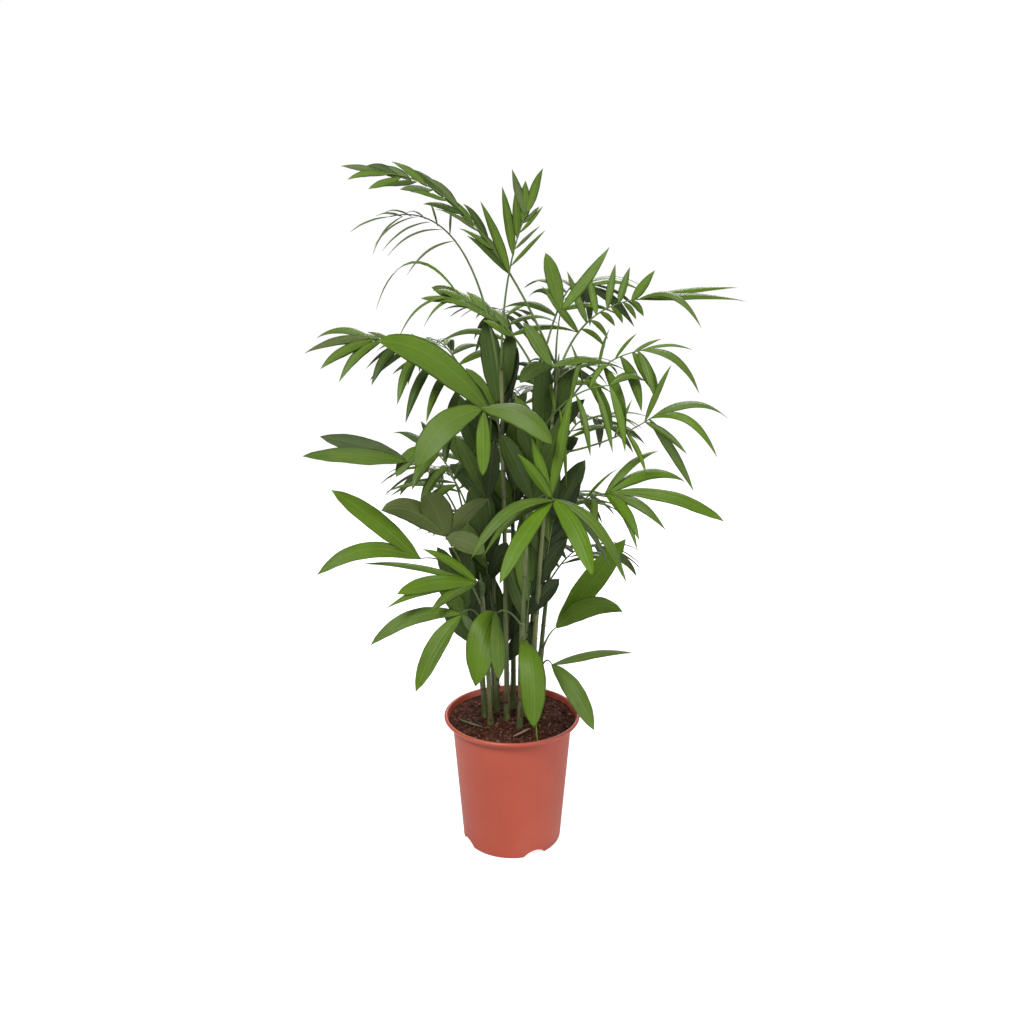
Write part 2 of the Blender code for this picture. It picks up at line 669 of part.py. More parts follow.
# Solids of a frond
def blade_mesh(leaf, share=1.0):
    """A leaflet with a flat top and a keel below, lofted through a few stations to its tip."""
    root, heading, flat, length, width, droop = leaf
    length = length * share
    broad = width >= BROAD_WIDTH
    stations = (0.0, 0.2, 0.5, 0.8) if broad else (0.0, 0.3, 0.68)
    steps = 20
    spine = swept(root, heading, length, droop, steps)
    keel = max(0.0011, length * KEEL_SHARE)
    bm = bmesh.new()
    rings = []
    for station in stations:
        at = round(station * steps)
        along = (spine[min(at + 1, steps)] - spine[max(at - 1, 0)]).normalized()
        side = (flat - along * flat.dot(along)).normalized()
        half = width * outline_width(station, broad) / 2
        low = side.cross(along) * keel * (1.0 if station else 0.8)
        middle = spine[at]
        corners = (middle - side * half, middle + side * half, middle + low)
        rings.append([bm.verts.new(corner) for corner in corners])
    tip = bm.verts.new(spine[-1])
    bm.faces.new(reversed(rings[0]))
    for lower, upper in zip(rings, rings[1:]):
        for k in range(3):
            bm.faces.new((lower[k], lower[k - 2], upper[k - 2], upper[k]))
    for k in range(3):
        bm.faces.new((rings[-1][k], rings[-1][k - 2], tip))
    bmesh.ops.recalc_face_normals(bm, faces=bm.faces)
    bmesh.ops.triangulate(bm, faces=bm.faces)
    return bm


def tree_of(bm):
    return BVHTree.FromBMesh(bm)


def evaluated_bmesh(obj):
    graph = bpy.context.evaluated_depsgraph_get()
    mesh = bpy.data.meshes.new_from_object(obj.evaluated_get(graph))
    mesh.transform(obj.matrix_world)
    bm = bmesh.new()
    bm.from_mesh(mesh)
    bpy.data.meshes.remove(mesh)
    bmesh.ops.remove_doubles(bm, verts=bm.verts, dist=0.00001)
    return bm


def rib_bmesh(frond):
    shares = [k / (RIB_POINTS - 1) for k in range(RIB_POINTS)]
    points = [frond.point(share) for share in shares]
    radii = [RIB_RADIUS * (1 + (RIB_TAPER - 1) * share) for share in shares]
    guide = bpy.data.objects.new("guide", tube("guide", points, radii, 0))
    bpy.context.scene.collection.objects.link(guide)
    bpy.context.view_layer.update()
    bm = evaluated_bmesh(guide)
    bpy.data.objects.remove(guide)
    return bm


def largest_body(bm):
    """Drops loose scraps and sealed hollows, so that the outer skin alone stays."""
    left = set(bm.faces)
    bodies = []
    while left:
        first = left.pop()
        body = {first}
        front = [first]
        while front:
            for edge in front.pop().edges:
                for face in edge.link_faces:
                    if face in left:
                        left.remove(face)
                        body.add(face)
                        front.append(face)
        bodies.append(body)
    bodies.sort(key=len)
    for body in bodies[:-1]:
        bmesh.ops.delete(bm, geom=list(body), context="FACES")


def joined(name, rib, blades, solver):
    """The rib and its leaflets as one solid, by one Boolean union on their collection."""
    leaves = new_collection(name + "_leaves")
    for blade in blades:
        mesh = bpy.data.meshes.new(name + "_leaf")
        blade.to_mesh(mesh)
        leaves.objects.link(bpy.data.objects.new(name + "_leaf", mesh))
    mesh = bpy.data.meshes.new(name)
    rib.to_mesh(mesh)
    obj = bpy.data.objects.new(name, mesh)
    bpy.context.scene.collection.objects.link(obj)
    union = obj.modifiers.new("Join", "BOOLEAN")
    union.operation = "UNION"
    union.operand_type = "COLLECTION"
    union.collection = leaves
    union.solver = solver
    bpy.context.view_layer.update()
    bm = evaluated_bmesh(obj)
    for leaf in list(leaves.objects):
        bpy.data.objects.remove(leaf)
    bpy.data.collections.remove(leaves)
    bpy.data.objects.remove(obj)
    bmesh.ops.triangulate(bm, faces=bm.faces)
    largest_body(bm)
    return bm


def is_closed(bm):
    edges_fit = all(edge.is_manifold and edge.is_contiguous for edge in bm.edges)
    return bool(bm.faces) and edges_fit and all(vert.is_manifold for vert in bm.verts)


def simplified(bm):
    """The solid without its shortest edges, or as it was where that would open it."""
    for shortest in SHORTEST_EDGES:
        plain = bm.copy()
        bmesh.ops.remove_doubles(plain, verts=plain.verts, dist=shortest)
        bmesh.ops.dissolve_degenerate(plain, edges=plain.edges, dist=shortest / 10)
        bmesh.ops.triangulate(plain, faces=plain.faces)
        largest_body(plain)
        if is_closed(plain):
            bm.free()
            return plain
        plain.free()
    return bm


def closed_join(name, rib, blades):
    """The joined solid by the first solver that closes it, or nothing."""
    for solver in ("EXACT", "MANIFOLD"):
        solid = joined(name, rib, blades, solver)
        if is_closed(solid):
            return solid
        solid.free()
    return None


def make_frond(frond, rib, blades, group):
    """Joins the frond, and leaves out the leaflet that spoils the join where it fails."""
    solid = closed_join(frond.name, rib, blades)
    while solid is None:
        for k in reversed(range(len(blades))):
            solid = closed_join(frond.name, rib, blades[:k] + blades[k + 1 :])
            if solid is not None:
                break
        blades = blades[:-1]
        print(frond.name, "gives up a leaflet")
    solid = simplified(solid)
    mesh = bpy.data.meshes.new(frond.name)
    solid.to_mesh(mesh)
    solid.free()
    return add_object(frond.name, mesh, group, (0.10, 0.22, 0.04), 0.45)


def turned_leaf(leaf, axis, degrees):
    root, heading, flat, length, width, droop = leaf
    turn = Matrix.Rotation(math.radians(degrees), 3, axis)
    return root, turn @ heading, turn @ flat, length, width, droop


def fitting_blade(frond, leaf, obstacles):
    """The leaflet, turned or shortened by as little as keeps it off the rest, or nothing."""
    axis = frond.heading(1.0)
    for share in (1.0, 0.85, 0.7, 0.55):
        for degrees in (0, 9, -9, 18, -18):
            bm = blade_mesh(turned_leaf(leaf, axis, degrees), share)
            tree = tree_of(bm)
            if not any(tree.overlap(other) for other in obstacles):
                return bm, tree
            bm.free()
    return None


def make_fronds(group, solids):
    fronds = all_fronds()
    fixed = [tree_of(solid) for solid in solids]
    ribs = [rib_bmesh(frond) for frond in fronds]
    rib_trees = [tree_of(rib) for rib in ribs]
    placed = []
    skipped = 0
    for k, frond in enumerate(fronds):
        obstacles = fixed + rib_trees[:k] + rib_trees[k + 1 :] + placed
        blades = []
        for leaf in leaflets_of(frond):
            fitted = fitting_blade(frond, leaf, obstacles)
            if fitted is None:
                skipped += 1
                continue
            blades.append(fitted[0])
            placed.append(fitted[1])
        make_frond(frond, ribs[k], blades, group)
    print("leaflets placed", len(placed), "skipped", skipped)


def main():
    clear_scene()
    palm = new_collection("potted_bamboo_palm")
    cutters = new_collection("cutters")
    cutters.hide_render = True
    make_pot(palm, cutters)
    make_soil(palm)
    make_canes(palm)
    bpy.context.view_layer.update()
    solids = [evaluated_bmesh(obj) for obj in palm.objects]
    make_fronds(palm, solids)


main()
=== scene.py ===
"""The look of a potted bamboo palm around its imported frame, in a plain studio.

Finer leaflets, ribs, canes, soil and pot stand for the solids. Metres, +Z up, and -Y is the front.
"""

import math
import random

import bmesh
import bpy
from mathutils import Matrix, Vector, noise


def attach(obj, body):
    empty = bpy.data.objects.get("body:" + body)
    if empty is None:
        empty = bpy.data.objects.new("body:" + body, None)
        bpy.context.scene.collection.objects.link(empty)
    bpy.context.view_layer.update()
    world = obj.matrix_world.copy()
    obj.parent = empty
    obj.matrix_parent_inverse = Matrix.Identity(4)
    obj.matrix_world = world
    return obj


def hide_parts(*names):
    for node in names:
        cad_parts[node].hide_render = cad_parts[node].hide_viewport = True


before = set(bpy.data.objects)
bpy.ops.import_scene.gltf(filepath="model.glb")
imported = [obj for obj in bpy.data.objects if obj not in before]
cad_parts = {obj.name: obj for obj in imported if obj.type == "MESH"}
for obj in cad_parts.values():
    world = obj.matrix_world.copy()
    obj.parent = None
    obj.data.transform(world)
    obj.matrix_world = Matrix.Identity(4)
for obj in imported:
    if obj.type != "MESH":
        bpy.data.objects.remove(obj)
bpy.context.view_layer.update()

# Driving sizes of the pot
POT_HEIGHT = 0.265
POT_WALL = 0.0025
POT_FLOOR = 0.015
RIM_RADIUS = 0.135
NECK_RADIUS = 0.1185
FOOT_RADIUS = 0.0985
FOOT_ROUNDING = 0.004
LIP_HEIGHT = 0.017
LIP_STEP = 0.0018
NOTCH_COUNT = 4
NOTCH_WIDTH = 0.048
NOTCH_HEIGHT = 0.013
NOTCH_DEPTH = 0.020
NOTCH_TURN = -63.0
GAP = 0.0003
NECK = POT_HEIGHT - LIP_HEIGHT

# Driving sizes of the canes
SOIL_TOP = 0.255
CANE_RADIUS = 0.0055
CANE_TAPER = 0.5
CANE_LEAN = 1.4

# Driving sizes of the fronds
RIB_RADIUS = 0.0022
RIB_POINTS = 6
GOLDEN = 0.618
LOBE_STEP = 0.015
LAST_PAIR = 0.92
REAR_FRONDS = 11
CORE_FRONDS = 9
CORE_SPREAD = 0.067
UP = Vector((0, 0, 1))
FRONT = (0, -1, 0.7)

# How far a rib is moved at a time to pass the rest, and the room it wants
FOOT_SHIFT = 0.018
BEND_SWING = 0.012
ENOUGH_ROOM = 0.006
BETTER_BY = 0.001

# Each cane: place at the soil, place of its tip, and height above the soil
CANES = {
    "left": ((-0.055, 0.005), (-0.095, 0.020), 0.41),
    "front_left": ((-0.042, -0.028), (-0.060, -0.055), 0.32),
    "tall_left": ((-0.030, 0.030), (-0.050, 0.035), 0.66),
    "tall_middle": ((-0.010, -0.010), (-0.020, 0.000), 0.71),
    "back": ((0.003, 0.040), (0.000, 0.075), 0.66),
    "front": ((0.015, -0.040), (0.030, -0.065), 0.45),
    "tall_right": ((0.026, 0.008), (0.045, 0.020), 0.70),
    "leaning": ((0.038, -0.020), (0.085, -0.015), 0.72),
    "right": ((0.050, 0.012), (0.090, 0.020), 0.45),
    "back_right": ((0.035, 0.045), (0.065, 0.090), 0.54),
    "back_left": ((-0.035, 0.052), (-0.080, 0.090), 0.46),
}

# Width of a leaflet along its length, as shares of its full width: the narrow and the broad kind
LEAFLET_OUTLINE = ((0.0, 0.16), (0.15, 0.7), (0.35, 1.0), (0.6, 0.9), (0.8, 0.55), (0.93, 0.2), (1.0, 0.0))
LOBE_OUTLINE = ((0.0, 0.12), (0.12, 0.55), (0.35, 0.95), (0.55, 1.0), (0.75, 0.86), (0.9, 0.5), (1.0, 0.0))
BROAD_WIDTH = 0.0255

# Leaflet meshes: rows, columns, least and most fold, and height of the ripples
BROAD_MESH = (22, 13, (0.10, 0.30), 0.0009)
NARROW_MESH = (16, 7, (0.20, 0.50), 0.0003)
LEAF_THICKNESS = 0.0005
PLEAT_WIDTH = 0.009
MOST_TWIST = 26
MOST_SICKLE = 0.05
UV_SCALE = 10

# Meshes of ribs and canes
RIB_SIDES = 8
RIB_ROWS = 28
SHEATH_LENGTH = 0.055
SHEATH_ROWS = 10
SHEATH_SIDES = 14
CANE_SIDES = 20
CANE_ROW = 0.0022
CANE_BURIED = 0.006
RING_SPACING = 0.062
TAPER_ROWS = 14
HUSKS = 3
HUSK_ROWS = 5

# Meshes of pot and soil
POT_FINE_SIDES = 160
WALL_ROWS = 16
BEAD_ROWS = 12
FOOT_ROWS = 5
NOTCH_SIDES = 120
SOIL_RINGS = 46
SOIL_SECTORS = 150
SOIL_EDGE = RIM_RADIUS - 0.0103
CHIPS = 760
CHIP_SIZES = ((0.003, 0.012), (0.002, 0.007), (0.0008, 0.002))
CHIP_TILT = 0.6
CHIP_KINDS = (0, 2, 1, 2)
SQUARE = ((-1, -1), (1, -1), (1, 1), (-1, 1))
CHIP_FACES = ((0, 3, 2, 1), (4, 5, 6, 7), (0, 1, 5, 4), (1, 2, 6, 5), (2, 3, 7, 6), (3, 0, 4, 7))
FIBRES = 260
FIBRE_RADIUS = 0.0003
FIBRE_STEPS = 5

# A dry leaflet and a bit of straw on the soil: start, end and width
LITTER_LEVEL = SOIL_TOP + 0.0045
LITTER = (((-0.104, -0.018), (-0.056, -0.058), 0.007), ((0.002, -0.092), (0.036, -0.062), 0.006))

# Plain greens that are dealt out by leaf: upper side, underside, roughness. The deep and dark greens are
# shaded copies of the green that paint shade on leaves deep in the plant
TONES = {
    "bright": ((0.080, 0.156, 0.004), (0.085, 0.130, 0.028), 0.40),
    "fresh": ((0.080, 0.147, 0.008), (0.080, 0.120, 0.028), 0.40),
    "middle": ((0.076, 0.132, 0.014), (0.072, 0.105, 0.026), 0.40),
    # Painted shade: deep and dark are the green darkened for leaves that lie in shadow inside the plant and
    # under other leaves
    "deep": ((0.038, 0.068, 0.009), (0.046, 0.070, 0.018), 0.44),
    "dark": ((0.017, 0.030, 0.005), (0.026, 0.040, 0.011), 0.50),
    "olive": ((0.072, 0.098, 0.022), (0.078, 0.100, 0.030), 0.50),
    # Grey is partly the leaves' own grey-purple cast and partly a painted sheen, paler and bluer than the
    # green
    "grey": ((0.080, 0.115, 0.034), (0.085, 0.115, 0.045), 0.44),
}
MIXED = "middle fresh middle"
# The rear and core fronds get more of the deep and dark greens, which paint the shade among the canes
REAR_MIX = "middle fresh deep middle"
CORE_MIX = "deep dark middle dark deep"
LEAF_GLOSS = 0.25
UNDERSIDE_GLOSS = 0.18
VEIN_WAVES = (420.0, 95.0)

# Streaked stems: darker colour, lighter colour and fineness of the streaks
STEMS = {
    "stem": ((0.080, 0.130, 0.026), (0.125, 0.175, 0.050), 60.0),
    "sheath": ((0.100, 0.125, 0.040), (0.180, 0.185, 0.080), 110.0),
    "cane": ((0.085, 0.112, 0.034), (0.190, 0.200, 0.085), 70.0),
    "husk": ((0.150, 0.090, 0.040), (0.260, 0.180, 0.090), 90.0),
}

# Kinds of soil: fineness, and the dark, middle and light colour of the patches
SOILS = {
    "bark_mix": (70.0, (0.020, 0.006, 0.003), (0.058, 0.018, 0.010), (0.130, 0.048, 0.028)),
    "pale_bark": (90.0, (0.090, 0.040, 0.026), (0.175, 0.092, 0.062), (0.290, 0.180, 0.125)),
    "coir": (90.0, (0.080, 0.024, 0.014), (0.150, 0.052, 0.030), (0.220, 0.095, 0.058)),
}

# Plain leaf colours of what lies on the soil
LITTER_COLOURS = {"dry_leaf": (0.130, 0.150, 0.075), "straw": (0.280, 0.210, 0.130)}

# The pot's plastic at three places of its flow marks, and its scuffs
PLASTIC = ((0.30, (0.425, 0.068, 0.037)), (0.55, (0.475, 0.082, 0.045)), (0.80, (0.525, 0.106, 0.063)))
SCUFFED = (0.52, 0.16, 0.11, 1)

# Studio: each lamp's place, size and power, and the camera
LAMPS = {
    "key": ((-1.2, -2.2, 3.0), 1.2, 112.0),
    "fill": ((2.6, -1.4, 1.2), 2.0, 34.0),
    "back": ((0.4, 2.6, 2.4), 2.0, 60.0),
}
LAMP_AIM = Vector((0, 0, 0.7))
SKY_LIGHT = 0.36
WHITE = (1.0, 1.0, 1.0, 1)
FLOOR_SIZE = 60.0
FLOOR_DROP = 0.0002
FLOOR_TONE = 0.60
FLOOR_GLOW = 0.80
CAMERA_PLACE = (0.0, -1.75, 1.10)
CAMERA_DOWN = 13.6
CAMERA_LENS = 33.4


def wall_radius(height):
    """The pot's outer radius under the lip, which widens evenly from foot to neck."""
    return FOOT_RADIUS + (NECK_RADIUS - FOOT_RADIUS) * height / NECK


# Canes and the rule of a frond, as in the source
def cane_point(cane, height):
    """The cane's axis at a height: upright at the soil, then leaning out towards its tip."""
    foot, tip, length = CANES[cane]
    share = max(0.0, (height - SOIL_TOP) / length) ** CANE_LEAN
    x, y = (a + (b - a) * share for a, b in zip(foot, tip))
    return Vector((x, y, height))


def cane_radius(cane, height):
    share = (height - SOIL_TOP) / CANES[cane][2]
    return CANE_RADIUS * (1 + (CANE_TAPER - 1) * share)


class Frond:
    """One frond: where its rib starts, bends and ends, its greens, and how its leaflets stand on it.

    A lobe is its tip, width, droop and, where it is turned, its face. Leaflets in pairs start after the
    bare share of the rib. Left and right give the splay at the first and the last pair, lift, droop, length
    and width, and right is as left where it isn't given.
    """

    pairs = 0
    face = UP
    grow = (0.75, 1.0)
    right = None

    def __init__(self, name, cane, height, bend, tip, tones, *lobes, **leaves):
        self.name = "frond_" + name
        self.cane = cane
        self.height = height
        self.bend = Vector(bend)
        self.tip = Vector(tip)
        self.tones = tones.split()
        self.lobes = lobes
        vars(self).update(leaves)
        self.face = Vector(self.face).normalized()
        self.foot = self.seat()

    def seat(self):
        """The middle of the stem's cut end, a small gap clear of the cane's side."""
        axis = cane_point(self.cane, self.height)
        out = self.bend - axis
        level = Vector((out.x, out.y, 0)).normalized()
        rise = abs(out.normalized().z)
        return axis + level * (cane_radius(self.cane, self.height) + GAP + RIB_RADIUS * rise)

    def point(self, share):
        low = self.foot.lerp(self.bend, share)
        high = self.bend.lerp(self.tip, share)
        return low.lerp(high, share)

    def on_rib(self, share):
        """A point in the middle of the rib's tube, which is straight between its points."""
        stretch = share * (RIB_POINTS - 1)
        first = min(int(stretch), RIB_POINTS - 2)
        low = self.point(first / (RIB_POINTS - 1))
        high = self.point((first + 1) / (RIB_POINTS - 1))
        return low.lerp(high, stretch - first)

    def heading(self, share):
        return (self.bend - self.foot).lerp(self.tip - self.bend, share).normalized()


def swept(root, heading, length, droop, steps):
    """The midline of a leaflet that sets off along its heading and bends down under its weight."""
    points = [root.copy()]
    for k in range(steps):
        sag = UP * droop * ((k + 0.5) / steps) ** 1.4
        points.append(points[-1] + (heading - sag).normalized() * length / steps)
    return points


def aimed(root, end, droop):
    """The start vector with which a drooping leaflet ends at a given place."""
    start = end - root
    for _ in range(30):
        reached = swept(root, start.normalized(), start.length, droop, 12)[-1]
        start = start + (end - reached) * 0.7
    return start


def leaflets_of(frond):
    """Each leaflet as root, heading, side direction, length, width and droop."""
    chance = random.Random(frond.name)
    found = [lobe_leaflet(frond, k, *lobe) for k, lobe in enumerate(frond.lobes)]
    for k in range(frond.pairs):
        for side, setting in ((-1, frond.left), (1, frond.right or frond.left)):
            found.append(paired_leaflet(frond, k / (frond.pairs - 1), side, setting, chance))
    return found


def lobe_leaflet(frond, index, end, width, droop, face=None):
    """A leaflet from the end of the rib to a given place. No two start at quite the same point."""
    root = frond.on_rib(1 - LOBE_STEP * index)
    start = aimed(root, Vector(end), droop)
    heading = start.normalized()
    flat = Vector(face or frond.face).cross(heading).normalized()
    return root, heading, flat, start.length, width, droop


def paired_leaflet(frond, share, side, setting, chance):
    """One leaflet of a pair, set off from the rib with a little chance in its splay, lift and length."""
    first, last, lift, droop, size, breadth = setting
    last_share = LAST_PAIR if frond.lobes else 1.0
    along = frond.bare + (last_share - frond.bare) * share
    final = share == 1
    if side > 0 and not final:
        along += (1 - frond.bare) / (frond.pairs - 1) * 0.3
    heading = frond.heading(along)
    across = heading.cross(frond.face).normalized()
    normal = across.cross(heading)
    splay = math.radians(first + (last - first) * share + chance.uniform(-8, 8))
    raised = math.radians(lift + chance.uniform(-10, 10))
    length = frond.blade * size * (frond.grow[0] + (frond.grow[1] - frond.grow[0]) * share)
    length *= chance.uniform(0.85, 1.12)
    droop *= chance.uniform(0.75, 1.3)
    outward = across * side * math.cos(raised) + normal * math.sin(raised)
    upward = normal * math.cos(raised) - across * side * math.sin(raised)
    direction = heading * math.cos(splay) + outward * math.sin(splay)
    flat = upward.cross(direction).normalized()
    width = frond.width * breadth * (1.2 if final else 1.0)
    return frond.on_rib(along), direction.normalized(), flat, length, width, droop


def outline_width(share, broad):
    outline = LOBE_OUTLINE if broad else LEAFLET_OUTLINE
    for (low, first), (high, last) in zip(outline, outline[1:]):
        if share <= high:
            return first + (last - first) * (share - low) / (high - low)
    return 0.0
